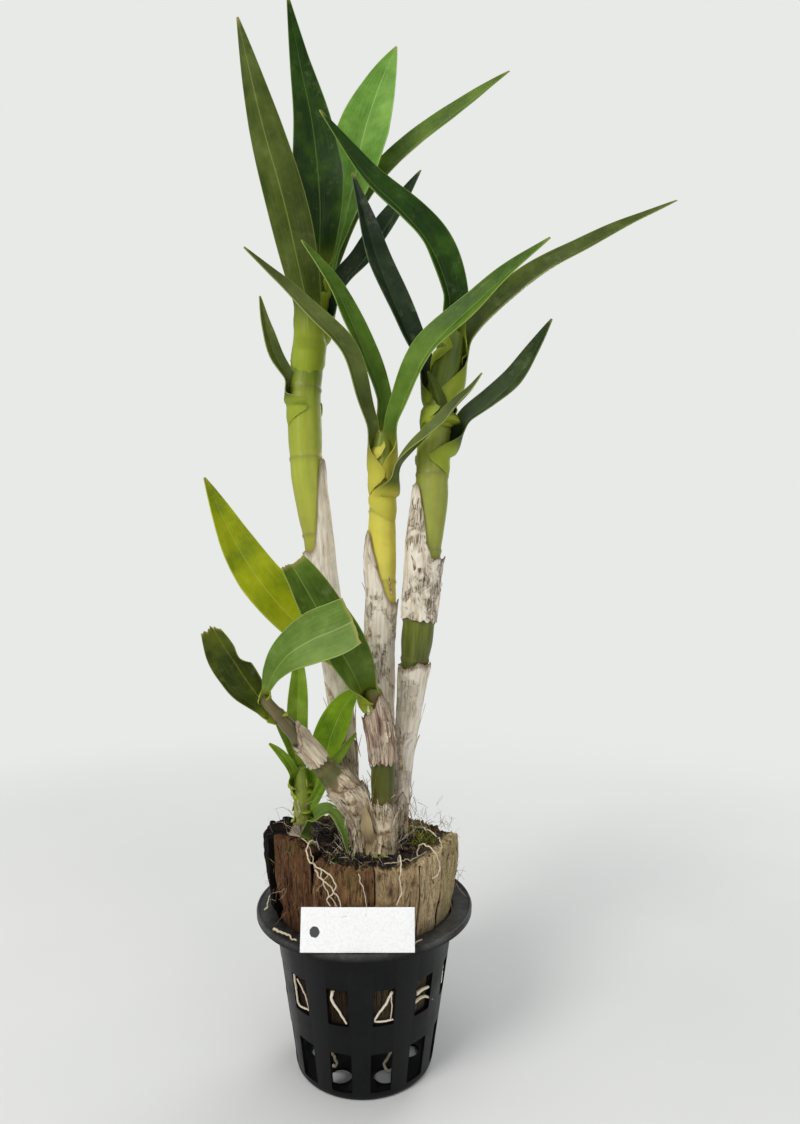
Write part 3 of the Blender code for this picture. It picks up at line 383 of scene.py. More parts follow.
# Fine roots on the husk, on the flange and in the slots: points, first radius
FINE_ROOTS = (
    ([(-34, -18, 112.5), (-29, -26, 114.5), (-23.5, -34, 114.5), (-21, -40.5, 111.5),
      (-19.4, -42.4, 107)], 0.55),
    ([(-19.4, -42.4, 106.5), (-16.5, -43.4, 103), (-12, -44.8, 99.5), (-8.6, -45.8, 95),
      (-8, -45.9, 91)], 0.6),
    ([(-17, -43, 107.5), (-15.6, -43.9, 101), (-13.4, -44.4, 97.2), (-9.6, -45.4, 92)], 0.38),
    ([(-13.4, -44.6, 105.5), (-16.4, -43.6, 100.8), (-18.6, -42.7, 97.4)], 0.3),
    ([(-0.6, -45.6, 106), (1, -45.8, 101), (2.4, -45.8, 96), (3, -45.9, 91)], 0.4),
    ([(22, 8, 107), (30, -2, 109), (34.5, -14, 109.6), (36, -24, 109.4), (34, -29.6, 108.4)], 0.55),
    ([(10, -38, 107.2), (17, -36.5, 107.6), (24, -33, 107.8), (29, -29, 109)], 0.35),
    ([(-39, -30.5, 75.2), (-33, -35.5, 75.4), (-27.4, -40.6, 75.2)], 0.9),
    ([(-46, -14, 76), (-44.4, -18, 79), (-43.2, -17, 84)], 0.6),
    ([(22, -44, 75.2), (24, -44.6, 76.8), (26.4, -43.4, 77.2)], 0.7),
)
# Roots looped in the wall slots: slot's angle in degrees, points as (sideways, height), radius
SLOT_ROOTS = (
    (-45, ((-4.5, 52), (-4.3, 44), (-3.6, 37.5), (2.6, 38.2), (4.2, 39), (1.4, 46), (-2.6, 50.5)), 0.55),
    (-15, ((-2.4, 51.5), (-2.8, 47), (0.4, 42), (3.4, 37)), 0.7),
    (-15, ((-1.6, 51.6), (-3, 50), (-2.6, 46.6)), 0.35),
    (15, ((3.6, 51), (0.6, 45), (-3.8, 38.6), (0.6, 37.4), (4.6, 37.6)), 0.6),
    (15, ((3.2, 50), (3.8, 43), (3.4, 38)), 0.35),
    (45, ((-4.2, 46.2), (0, 46.6), (4, 46)), 0.95),
    (45, ((-4.6, 42.4), (-1, 42.8), (2.2, 42.2), (7.5, 38.5)), 0.8),
    (75, ((-3, 50), (0, 44), (3, 38)), 0.6),
    (-75, ((-2, 51), (2, 45), (-2, 38)), 0.6),
    (135, ((-3, 50), (1, 44), (-2, 38)), 0.6),
    (195, ((3, 50), (-1, 44), (3, 39)), 0.5),
    (255, ((-3, 48), (0, 43), (4, 40)), 0.6),
)


class Route:
    """A smooth curve through points, read by the share of its length from 0 to 1."""

    def __init__(self, points):
        self.points = [Vector(p) for p in points]
        self.marks = [0.0]
        for a, b in zip(self.points, self.points[1:]):
            self.marks.append(self.marks[-1] + (b - a).length)
        self.length = self.marks[-1]

    def locate(self, share):
        """The span that holds a share of the length, and how far along that span it lies."""
        distance = min(max(share, 0.0), 1.0) * self.length
        index = 0
        while index < len(self.marks) - 2 and distance > self.marks[index + 1]:
            index += 1
        span = self.marks[index + 1] - self.marks[index]
        return index, (distance - self.marks[index]) / span

    def at(self, share):
        """The point at a share of the length."""
        i, t = self.locate(share)
        p = self.points
        p1 = p[i]
        p2 = p[i + 1]
        p0 = p[i - 1] if i > 0 else p1 * 2 - p2
        p3 = p[i + 2] if i + 2 < len(p) else p2 * 2 - p1
        return 0.5 * (2 * p1 + (p2 - p0) * t + (2 * p0 - 5 * p1 + 4 * p2 - p3) * t * t
                      + (3 * p1 - p0 - 3 * p2 + p3) * t * t * t)

    def along(self, share):
        """The direction of the route at a share of the length."""
        step = 0.01
        return (self.at(min(share + step, 1.0)) - self.at(max(share - step, 0.0))).normalized()

    def outwards(self, share, angle):
        """The direction away from the route, at an angle from the front towards +X."""
        axis = self.along(share)
        ahead = (FRONT - axis * FRONT.dot(axis)).normalized()
        return ahead * math.cos(angle) + axis.cross(ahead) * math.sin(angle)

    def blend(self, values, share):
        """A value given at each point of the route, read between them."""
        i, t = self.locate(share)
        return values[i] * (1 - t) + values[i + 1] * t

    def share_at_height(self, height):
        """The share of a rising route at which it reaches a height."""
        low = 0.0
        high = 1.0
        for _ in range(24):
            middle = (low + high) / 2
            if self.at(middle).z < height:
                low = middle
            else:
                high = middle
        return (low + high) / 2


def smooth(value, low, high):
    """0 below low, 1 above high and an even S between."""
    t = min(max((value - low) / (high - low), 0.0), 1.0)
    return t * t * (3 - 2 * t)


def grain(x, y, z, seed=0.0):
    """Smooth noise from about -1 to 1."""
    return noise.noise(Vector((x + seed * 17.3, y - seed * 5.1, z + seed * 2.7)))


# Materials

def linear(value):
    """An sRGB hex colour as linear RGBA."""
    channels = [int(value[i:i + 2], 16) / 255 for i in (1, 3, 5)]
    return (*[c / 12.92 if c <= 0.04045 else ((c + 0.055) / 1.055) ** 2.4 for c in channels], 1.0)


# The output that each kind of node is read by, where it isn't the first. A colour Mix takes its
# share at socket 0 and its two colours at 6 and 7
MAIN_OUTPUTS = {"MIX": 2, "ATTRIBUTE": "Fac", "TEX_COORD": "Object", "LIGHT_PATH": "Is Camera Ray"}


def plug(tree, node, sockets):
    """Gives a node's sockets their links, values or hex colours."""
    for key, value in sockets.items() if isinstance(sockets, dict) else enumerate(sockets):
        if isinstance(value, bpy.types.Node):
            value = value.outputs[MAIN_OUTPUTS.get(value.type, 0)]
        if isinstance(value, bpy.types.NodeSocket):
            tree.links.new(value, node.inputs[key])
        else:
            node.inputs[key].default_value = linear(value) if isinstance(value, str) else value


def add(tree, kind, sockets=(), stops=(), **settings):
    """Adds a node with its settings, its sockets and the stops of a colour ramp."""
    made = tree.nodes.new("ShaderNode" + kind)
    if kind == "Mix":
        made.data_type = "RGBA"
    for name, value in settings.items():
        setattr(made, name, value)
    plug(tree, made, sockets)
    if stops:
        ramp = made.color_ramp.elements
        while len(ramp) < len(stops):
            ramp.new(0.5)
        for element, (place, colour) in zip(ramp, stops):
            element.position = place
            element.color = linear(colour)
    return made


def drawn_grain(tree, repeats_u, repeats_v, **sockets):
    """Grain drawn out one way: how often it repeats along U and along V of the piece's UV map."""
    uv = add(tree, "UVMap", uv_map="UVMap")
    drawn = add(tree, "Mapping", {"Vector": uv, "Scale": (repeats_u, repeats_v, 1.0)})
    return add(tree, "TexNoise", {"Vector": drawn, "Scale": 1.0, **sockets})


def stain(tree, under, colour, pattern, low, high, least, most, **settings):
    """Lays colour over under: its share goes from least to most as the pattern goes from low to high."""
    share = add(tree, "MapRange", (pattern, low, high, least, most), **settings)
    return add(tree, "Mix", {0: share, 6: under, 7: colour})


def new_material(name, roughness=0.5, **constants):
    """A material with its node tree and its shader, whose constants are set on the sockets."""
    material = bpy.data.materials.new(name)
    material.use_nodes = True
    shader = material.node_tree.nodes["Principled BSDF"]
    shader.inputs["Roughness"].default_value = roughness
    for socket, value in constants.items():
        shader.inputs[socket.replace("_", " ")].default_value = value
    return material, material.node_tree, shader


def leaf_material(tone):
    """Waxy leaf skin: lengthwise veins under a satin cuticle, a pale rib and a thin pale margin."""
    name = "leaf_" + tone
    if name in bpy.data.materials:
        return bpy.data.materials[name]
    shadow, body, light, rib = LEAF_TONES[tone]
    material, tree, shader = new_material(name, 0.44, Specular_IOR_Level=0.15)
    uv = add(tree, "UVMap", uv_map="UVMap")
    axes = add(tree, "SeparateXYZ", (uv,))
    place = add(tree, "TexCoord")
    reach = add(tree, "Attribute", attribute_name="reach")
    mottle = add(tree, "TexNoise", {"Vector": place, "Scale": 55.0, "Detail": 4.0, "Roughness": 0.6})
    base = add(tree, "ValToRGB", (mottle,), stops=((0.28, shadow), (0.5, body), (0.74, light)))
    # About 34 veins across a blade, drawn out over 20 mm
    veins = drawn_grain(tree, 5.0, 34.0, Detail=5.0, Roughness=0.7)
    veined = stain(tree, base, light, veins, 0.44, 0.7, 0.0, 0.45)
    offset = add(tree, "Math", (axes.outputs[1], 0.5), operation="SUBTRACT")
    side = add(tree, "Math", (offset,), operation="ABSOLUTE")
    ribbing = add(tree, "MapRange", (side, 0.002, 0.022, 0.42, 0.0), interpolation_type="SMOOTHSTEP")
    ribbed = add(tree, "Mix", {0: ribbing, 6: veined, 7: rib})
    edged = stain(tree, ribbed, rib, side, 0.474, 0.5, 0.0, 0.6, interpolation_type="SMOOTHSTEP")
    sunny = add(tree, "Attribute", attribute_name="sunny")
    clasping = add(tree, "Mix", {0: sunny, 6: "#96a432", 7: "#c4bc48"})
    based = stain(tree, edged, clasping, reach, 0.0, 0.17, 1.0, 0.0, interpolation_type="SMOOTHSTEP")
    tipped = stain(tree, based, "#a89c50", reach, 0.965, 1.0, 0.0, 0.6, interpolation_type="SMOOTHSTEP")
    dust = add(tree, "TexNoise", {"Vector": place, "Scale": 150.0, "Detail": 7.0, "Roughness": 0.75})
    scuffed = stain(tree, tipped, "#b6bd84", dust, 0.56, 0.8, 0.0, 0.22)
    gloss = add(tree, "MapRange", (mottle, 0.3, 0.7, 0.34, 0.5))
    height = add(tree, "Math", (veins, ribbing), operation="SUBTRACT")
    bump = add(tree, "Bump", {"Height": height, "Strength": 0.35, "Distance": 0.0004})
    plug(tree, shader, {"Base Color": scuffed, "Roughness": gloss, "Normal": bump})
    return material


def underside_material():
    """Underside of a leaf: paler, greyer and duller than its face, with the same fine lines."""
    name = "leaf_underside"
    if name in bpy.data.materials:
        return bpy.data.materials[name]
    material, tree, shader = new_material(name, 0.55, Specular_IOR_Level=0.3)
    veins = drawn_grain(tree, 5.0, 40.0, Detail=5.0, Roughness=0.7)
    base = add(tree, "ValToRGB", (veins,), stops=((0.3, "#46561f"), (0.55, "#66783a"), (0.75, "#869654")))
    bump = add(tree, "Bump", {"Height": veins, "Strength": 0.3, "Distance": 0.0004})
    plug(tree, shader, {"Base Color": base, "Normal": bump})
    return material


def cane_material(name, stops, streak, paper_top):
    """Cane skin: waxy green with fine lengthwise ribs, its colour changing with height."""
    material, tree, shader = new_material(name, 0.4, Specular_IOR_Level=0.35)
    place = add(tree, "TexCoord")
    reach = add(tree, "Attribute", attribute_name="reach")
    base = add(tree, "ValToRGB", (reach,), stops=stops)
    ribs = drawn_grain(tree, 15.0, 2.0, Detail=4.0, Roughness=0.65)
    streaked = stain(tree, base, streak, ribs, 0.42, 0.75, 0.0, 0.3)
    blotch = add(tree, "TexNoise", {"Vector": place, "Scale": 90.0, "Detail": 4.0})
    blotched = stain(tree, streaked, "#626c1c", blotch, 0.5, 0.8, 0.0, 0.3)
    ring = add(tree, "Attribute", attribute_name="ring")
    ringed = add(tree, "Mix", {0: ring, 6: blotched, 7: "#6b5a34"})
    dry = add(tree, "Math", (blotch, 0.07, -0.035), operation="MULTIPLY_ADD")
    edge = add(tree, "Math", (reach, dry), operation="ADD")
    fibre = drawn_grain(tree, 34.0, 9.0, Detail=5.0, Roughness=0.7, Distortion=1.0)
    paper = add(tree, "ValToRGB", (fibre,), stops=((0.3, "#3a2c20"), (0.4, "#8e765c"), (0.52, "#cdbb9e"),
                (0.7, "#efe6d2")))
    footed = stain(tree, ringed, paper, edge, paper_top - 0.006, paper_top, 1.0, 0.0)
    gloss = add(tree, "MapRange", (ribs, 0.3, 0.7, 0.32, 0.52))
    bump = add(tree, "Bump", {"Height": ribs, "Strength": 0.2, "Distance": 0.0004})
    plug(tree, shader, {"Base Color": footed, "Roughness": gloss, "Normal": bump})
    return material


def sheath_material(name, netting, skin):
    """Dead papery sheath: bleached cream skin over dark lengthwise fibres, cracked into a net."""
    material, tree, shader = new_material(name, 0.75)
    uv = add(tree, "UVMap", uv_map="UVMap")
    place = add(tree, "TexCoord")
    reach = add(tree, "Attribute", attribute_name="reach")
    fibres = drawn_grain(tree, 22.0, 5.0, Detail=6.0, Roughness=0.7, Distortion=0.6)
    base = add(tree, "ValToRGB", (fibres,), stops=skin)
    patches = add(tree, "TexNoise", {"Vector": place, "Scale": 70.0, "Detail": 5.0, "Roughness": 0.65})
    stained = stain(tree, base, "#a48a72", patches, 0.56, 0.78, 0.0, 0.4)
    panels = add(tree, "TexNoise", {"Vector": place, "Scale": 95.0, "Detail": 3.0, "Roughness": 0.5,
                 "Distortion": 0.7})
    stripes = drawn_grain(tree, 58.0, 7.0, Detail=4.0, Roughness=0.65, Distortion=0.4)
    weathered = add(tree, "ValToRGB", (stripes,),
                    stops=((0.36, "#5a4a3a"), (0.46, "#a3937b"), (0.6, "#e0d5c0")))
    paneled = stain(tree, stained, weathered, panels, 0.5, 0.56, 0.0, netting)
    cells = add(tree, "Mapping", {"Vector": uv, "Scale": (15.0, 24.0, 1.0)})
    warp = add(tree, "MixRGB", (0.9, cells, patches.outputs[1]), blend_type="ADD")
    net = add(tree, "TexVoronoi", {"Vector": warp, "Scale": 1.0}, feature="DISTANCE_TO_EDGE",
              voronoi_dimensions="2D")
    crack = add(tree, "MapRange", (net, 0.015, 0.07, netting, 0.0))
    local = add(tree, "MapRange", (panels, 0.46, 0.6, 0.0, 1.0))
    rough_edge = add(tree, "MapRange", (stripes, 0.35, 0.6, 1.0, 0.55))
    gated = add(tree, "Math", (crack, local), operation="MULTIPLY")
    cracks = add(tree, "Math", (gated, rough_edge), operation="MULTIPLY")
    cracked = add(tree, "Mix", {0: cracks, 6: paneled, 7: "#22170e"})
    edged = stain(tree, cracked, "#7a6248", reach, 0.955, 1.0, 0.0, 0.85)
    depth = add(tree, "Math", (fibres, cracks), operation="SUBTRACT")
    bump = add(tree, "Bump", {"Height": depth, "Strength": 0.7, "Distance": 0.0008})
    plug(tree, shader, {"Base Color": edged, "Normal": bump})
    return material


def husk_material(tone):
    """Coconut husk: coarse fibres pressed into a rind, split lengthwise, with damp moss near the top, and
    painted shade low down inside the pot and along its inner face.
    """
    name = "husk_" + tone
    if name in bpy.data.materials:
        return bpy.data.materials[name]
    dark, body, light = HUSK_TONES[tone]
    material, tree, shader = new_material(name, 0.9, Specular_IOR_Level=0.2)
    place = add(tree, "TexCoord")
    # Fibres are about 0.7 mm across and 8 mm long: a unit of the UV map is about 10 mm
    fibres = drawn_grain(tree, 15.0, 1.6, Detail=7.0, Roughness=0.7, Distortion=0.8)
    patches = drawn_grain(tree, 2.4, 0.9, Detail=4.0, Roughness=0.6)
    base = add(tree, "ValToRGB", (fibres,), stops=((0.34, dark), (0.47, body), (0.66, light)))
    worn = stain(tree, base, body, patches, 0.38, 0.66, 0.5, 0.0)
    grit = add(tree, "TexNoise", {"Vector": place, "Scale": 900.0, "Detail": 3.0, "Roughness": 0.7})
    pitted = stain(tree, worn, dark, grit, 0.3, 0.46, 0.6, 0.0)
    seams = drawn_grain(tree, 3.2, 0.2, Detail=3.0, Roughness=0.55, Distortion=0.3)
    middle = add(tree, "Math", (seams, 0.5), operation="SUBTRACT")
    near = add(tree, "Math", (middle,), operation="ABSOLUTE")
    thin = add(tree, "MapRange", (near, 0.003, 0.016, 1.0, 0.0))
    some = add(tree, "MapRange", (patches, 0.4, 0.56, 0.1, 0.95))
    cracks = add(tree, "Math", (thin, some), operation="MULTIPLY")
    cracked = add(tree, "Mix", {0: cracks, 6: pitted, 7: "#1c110a"})
    damp = add(tree, "TexNoise", {"Vector": place, "Scale": 85.0, "Detail": 5.0})
    wet = add(tree, "MapRange", (damp, 0.56, 0.7, 0.0, 0.45))
    height = add(tree, "SeparateXYZ", (place,))
    upper = add(tree, "MapRange", (height.outputs[2], 0.092, 0.108, 0.0, 1.0))
    moss = add(tree, "Math", (wet, upper), operation="MULTIPLY")
    mossy = add(tree, "Mix", {0: moss, 6: cracked, 7: "#6f7436"})
    # Knots: their own darker reddish brown, with painted shade deepening the sunken eye of each
    knot = add(tree, "Attribute", attribute_name="knot")
    knot_shaded = add(tree, "Mix", {0: knot, 6: mossy, 7: "#4a2a1c"})
    # Painted shade: the inside attribute darkens the husk's inner face and the inner half of its top, where
    # it meets the medium
    inside = add(tree, "Attribute", attribute_name="inside")
    seam_shaded = add(tree, "Mix", {0: inside, 6: knot_shaded, 7: "#1c120b"})
    # Painted shade: below about 62 mm, inside the pot and behind its slots, the husk is darkened almost to
    # black, fading out by 80 mm
    shaded_in_pot = stain(tree, seam_shaded, "#120b07", height.outputs[2], 0.062, 0.08, 0.86, 0.0)
    relief = add(tree, "Math", (fibres, cracks), operation="SUBTRACT")
    bump = add(tree, "Bump", {"Height": relief, "Strength": 1.0, "Distance": 0.0026})
    plug(tree, shader, {"Base Color": shaded_in_pot, "Normal": bump})
    return material


def pot_material():
    """Black moulded polypropylene: faint flow marks, dusted and water-stained on the flange."""
    material, tree, shader = new_material("moulded_black_polypropylene", 0.4, Specular_IOR_Level=0.12)
    place = add(tree, "TexCoord")
    axes = add(tree, "SeparateXYZ", (place,))
    dust = add(tree, "TexNoise", {"Vector": place, "Scale": 60.0, "Detail": 6.0, "Roughness": 0.7})
    fine = add(tree, "TexNoise", {"Vector": place, "Scale": 700.0, "Detail": 3.0})
    high = add(tree, "MapRange", (axes.outputs[2], 0.0715, 0.0738, 0.03, 0.5))
    smear = add(tree, "MapRange", (dust, 0.34, 0.68, 0.15, 1.0))
    speck = add(tree, "MapRange", (fine, 0.4, 0.7, 0.75, 1.1))
    coat = add(tree, "Math", (high, smear), operation="MULTIPLY")
    dusty = add(tree, "Math", (coat, speck), operation="MULTIPLY")
    colour = add(tree, "Mix", {0: dusty, 6: "#08090b", 7: "#7d7d79"})
    gloss = add(tree, "MapRange", (dust, 0.3, 0.7, 0.3, 0.5))
    bump = add(tree, "Bump", {"Height": fine, "Strength": 0.12, "Distance": 0.0003})
    plug(tree, shader, {"Base Color": colour, "Roughness": gloss, "Normal": bump})
    return material


def strand_material(name, stops, roughness=0.8, scale=400.0):
    """Dry strands: each one takes its own tone, broken by fine noise along it."""
    material, tree, shader = new_material(name, roughness)
    place = add(tree, "TexCoord")
    tone = add(tree, "Attribute", attribute_name="tone")
    noise_node = add(tree, "TexNoise", {"Vector": place, "Scale": scale, "Detail": 3.0})
    spread = add(tree, "Math", (noise_node, 0.5, -0.25), operation="MULTIPLY_ADD")
    value = add(tree, "Math", (tone, spread), operation="ADD")
    base = add(tree, "ValToRGB", (value,), stops=stops)
    bump = add(tree, "Bump", {"Height": noise_node, "Strength": 0.5, "Distance": 0.0004})
    plug(tree, shader, {"Base Color": base, "Normal": bump})
    return material


def strip_material():
    """Shreds of dry skin: cream to brown, each with fine lengthwise grain."""
    material, tree, shader = new_material("dry_skin_shreds", 0.8, Specular_IOR_Level=0.2)
    place = add(tree, "TexCoord")
    tone = add(tree, "TexNoise", {"Vector": place, "Scale": 240.0, "Detail": 5.0, "Roughness": 0.7})
    base = add(tree, "ValToRGB", (tone,), stops=((0.32, "#4a3626"), (0.42, "#9c8466"), (0.52, "#d4c4a6"),
               (0.7, "#f2ead8")))
    bump = add(tree, "Bump", {"Height": tone, "Strength": 0.6, "Distance": 0.0006})
    plug(tree, shader, {"Base Color": base, "Normal": bump})
    return material


def medium_material():
    """Damp potting fibre: near black, with brown chips and paler grit."""
    material, tree, shader = new_material("damp_fibre_medium", 0.85)
    place = add(tree, "TexCoord")
    clumps = add(tree, "TexNoise", {"Vector": place, "Scale": 260.0, "Detail": 7.0, "Roughness": 0.75})
    grit = add(tree, "TexVoronoi", {"Vector": place, "Scale": 420.0})
    base = add(tree, "ValToRGB", (clumps,), stops=((0.38, "#060403"), (0.56, "#140d08"), (0.68, "#33231a"),
               (0.8, "#6e5640")))
    relief = add(tree, "Math", (clumps, grit), operation="ADD")
    bump = add(tree, "Bump", {"Height": relief, "Strength": 1.0, "Distance": 0.002})
    plug(tree, shader, {"Base Color": base, "Normal": bump})
    return material


def card_material():
    """Bright uncoated card with one hand-filled ink dot at its left end."""
    material, tree, shader = new_material("white_card_stock", 0.62)
    place = add(tree, "TexCoord")
    axes = add(tree, "SeparateXYZ", (place,))
    flat = add(tree, "CombineXYZ", {0: axes.outputs[0], 2: axes.outputs[2]})
    pulp = add(tree, "TexNoise", {"Vector": place, "Scale": 900.0, "Detail": 4.0})
    away = add(tree, "VectorMath", (flat, (CARD_DOT[0] * MM, 0.0, CARD_DOT[1] * MM)), operation="DISTANCE")
    wobble = add(tree, "Math", (pulp, 0.0007, away.outputs["Value"]), operation="MULTIPLY_ADD")
    paper = add(tree, "ValToRGB", (pulp,), stops=((0.3, "#f4f4f2"), (0.6, "#fefefe")))
    inked = stain(tree, paper, "#17181a", wobble, 0.0024, 0.00262, 0.95, 0.0)
    bump = add(tree, "Bump", {"Height": pulp, "Strength": 0.1, "Distance": 0.0002})
    plug(tree, shader, {"Base Color": inked, "Normal": bump})
    return material


def floor_material():
    """Matt pale paint that melts into the pale room some way from the pot."""
    material, tree, shader = new_material("matt_pale_paint", 0.9)
    place = add(tree, "TexCoord")
    soft = add(tree, "TexNoise", {"Vector": place, "Scale": 3.0, "Detail": 3.0})
    base = add(tree, "ValToRGB", (soft,), stops=((0.3, "#dcdddb"), (0.7, "#e6e6e4")))
    away = add(tree, "VectorMath", (place,), operation="LENGTH")
    far = add(tree, "MapRange", (away.outputs["Value"], 0.22, 0.75, 0.0, 1.0),
              interpolation_type="SMOOTHSTEP")
    path = add(tree, "LightPath")
    seen = add(tree, "Math", (far, path), operation="MULTIPLY")
    room = add(tree, "Emission", (PALE_WALL, 1.0))
    mixed = add(tree, "MixShader", (seen, shader, room))
    out = next(node for node in tree.nodes if node.type == "OUTPUT_MATERIAL")
    plug(tree, out, (mixed,))
    plug(tree, shader, {"Base Color": base})
    return material


# Geometry

def new_piece(name, verts, faces, tones=(), edges=()):
    """An object from its points, with a tone at each point where tones are given."""
    mesh = bpy.data.meshes.new(name)
    mesh.from_pydata(verts, edges, faces)
    if tones:
        layer = mesh.attributes.new("tone", "FLOAT", "POINT").data
        for point, tone in zip(layer, tones):
            point.value = tone
    piece = bpy.data.objects.new(name, mesh)
    bpy.context.scene.collection.objects.link(piece)
    return piece


def new_grid(name, across, along):
    """A flat grid primitive whose UV runs from 0 to 1 both ways."""
    bpy.ops.object.select_all(action="DESELECT")
    bpy.ops.mesh.primitive_grid_add(x_subdivisions=across, y_subdivisions=along, size=2.0)
    piece = bpy.context.active_object
    piece.name = name
    piece.data.name = name
    return piece


def shape_grid(piece, place, uv=None, **attributes):
    """Moves each point of a flat grid to place(u, v) in millimetres and writes its UV and attributes."""
    mesh = piece.data
    shares = [((v.co.x + 1) / 2, (v.co.y + 1) / 2) for v in mesh.vertices]
    if uv:
        layer = mesh.uv_layers.active.data
        for loop in mesh.loops:
            layer[loop.index].uv = uv(*shares[loop.vertex_index])
    for name, value in attributes.items():
        layer = mesh.attributes.new(name, "FLOAT", "POINT").data
        for i, share in enumerate(shares):
            layer[i].value = value(*share)
    for vert, share in zip(mesh.vertices, shares):
        vert.co = place(*share) * MM


def select_only(piece):
    """Selects one piece and makes it the active one."""
    bpy.ops.object.select_all(action="DESELECT")
    piece.select_set(True)
    bpy.context.view_layer.objects.active = piece


def weld(piece, fill=False):
    """Merges the seams of a wrapped grid, closes its ends if asked, and turns its faces outwards."""
    select_only(piece)
    bpy.ops.object.mode_set(mode="EDIT")
    bpy.ops.mesh.select_all(action="SELECT")
    bpy.ops.mesh.remove_doubles(threshold=WELD_GAP)
    if fill:
        bpy.ops.mesh.fill_holes(sides=0)
        bpy.ops.mesh.select_all(action="SELECT")
    bpy.ops.mesh.normals_make_consistent(inside=False)
    bpy.ops.object.mode_set(mode="OBJECT")


def modify(piece, kind, **settings):
    """Adds a modifier and applies it."""
    select_only(piece)
    modifier = piece.modifiers.new(kind.lower(), kind)
    for name, value in settings.items():
        setattr(modifier, name, value)
    bpy.ops.object.modifier_apply(modifier=modifier.name)


def settle(piece, materials, nodes=(), angle=60.0):
    """Shades a piece, gives it its materials, and makes it ride on the root and stand for its nodes."""
    piece.data.materials.clear()
    for material in materials:
        piece.data.materials.append(material)
    select_only(piece)
    bpy.ops.object.shade_smooth_by_angle(angle=math.radians(angle))
    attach(piece, "root")
    if nodes:
        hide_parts(*nodes)
    return piece


def strand_mesh(name, strands, sides=3):
    """One mesh of thin tapering tubes. A strand is its points, first radius, last radius and tone."""
    verts = []
    faces = []
    tones = []
    for points, first, last, tone in strands:
        points = [Vector(p) for p in points]
        count = len(points)
        start = len(verts)
        turn = Vector((0.31, 0.52, 0.79))
        for i, point in enumerate(points):
            ahead = (points[min(i + 1, count - 1)] - points[max(i - 1, 0)]).normalized()
            one = ahead.cross(turn).normalized()
            two = ahead.cross(one)
            radius = first + (last - first) * i / (count - 1)
            for k in range(sides):
                a = 2 * math.pi * k / sides
                verts.append((point + (one * math.cos(a) + two * math.sin(a)) * radius) * MM)
                tones.append(tone)
        for i in range(count - 1):
            for k in range(sides):
                a = start + i * sides + k
                b = start + i * sides + (k + 1) % sides
                faces.append((a, b, b + sides, a + sides))
        faces.append(tuple(start + k for k in reversed(range(sides))))
        faces.append(tuple(start + (count - 1) * sides + k for k in range(sides)))
    piece = new_piece(name, verts, faces, tones)
    weld(piece)
    return piece


def wander(rng, start, heading, length, steps, turn, pull=0.0):
    """A strand's path: it starts along heading, strays by turn at each step and is pulled down."""
    points = [Vector(start)]
    heading = Vector(heading).normalized()
    for _ in range(steps):
        heading += Vector((rng.gauss(0, turn), rng.gauss(0, turn), rng.gauss(0, turn) - pull))
        heading.normalize()
        points.append(points[-1] + heading * (length / steps))
    return points


def hair(rng, start, heading, lengths, steps, turn, radii, tip, pull=0.0):
    """A strand that wanders off from start, its length and thickness drawn from ranges."""
    path = wander(rng, start, heading, rng.uniform(*lengths), steps, turn, pull)
    return path, rng.uniform(*radii), tip, rng.random()


def scatter(rng, reach):
    """A place drawn evenly from a disk."""
    radius = reach * math.sqrt(rng.random())
    angle = rng.uniform(0, 2 * math.pi)
    return radius * math.cos(angle), radius * math.sin(angle)


def blade_half_width(share, root, half_width, widest, kept_end, swell, taper):
    """Half width of a blade: it swells from a clasping root and runs to a point or a cut end."""
    if share < widest:
        return root + (half_width - root) * math.sin(share / widest * math.pi / 2) ** swell
    beyond = (share - widest) / (1 - widest)
    end = max(half_width * kept_end, BLADE_TIP)
    return end + (half_width - end) * (1 - beyond ** taper)


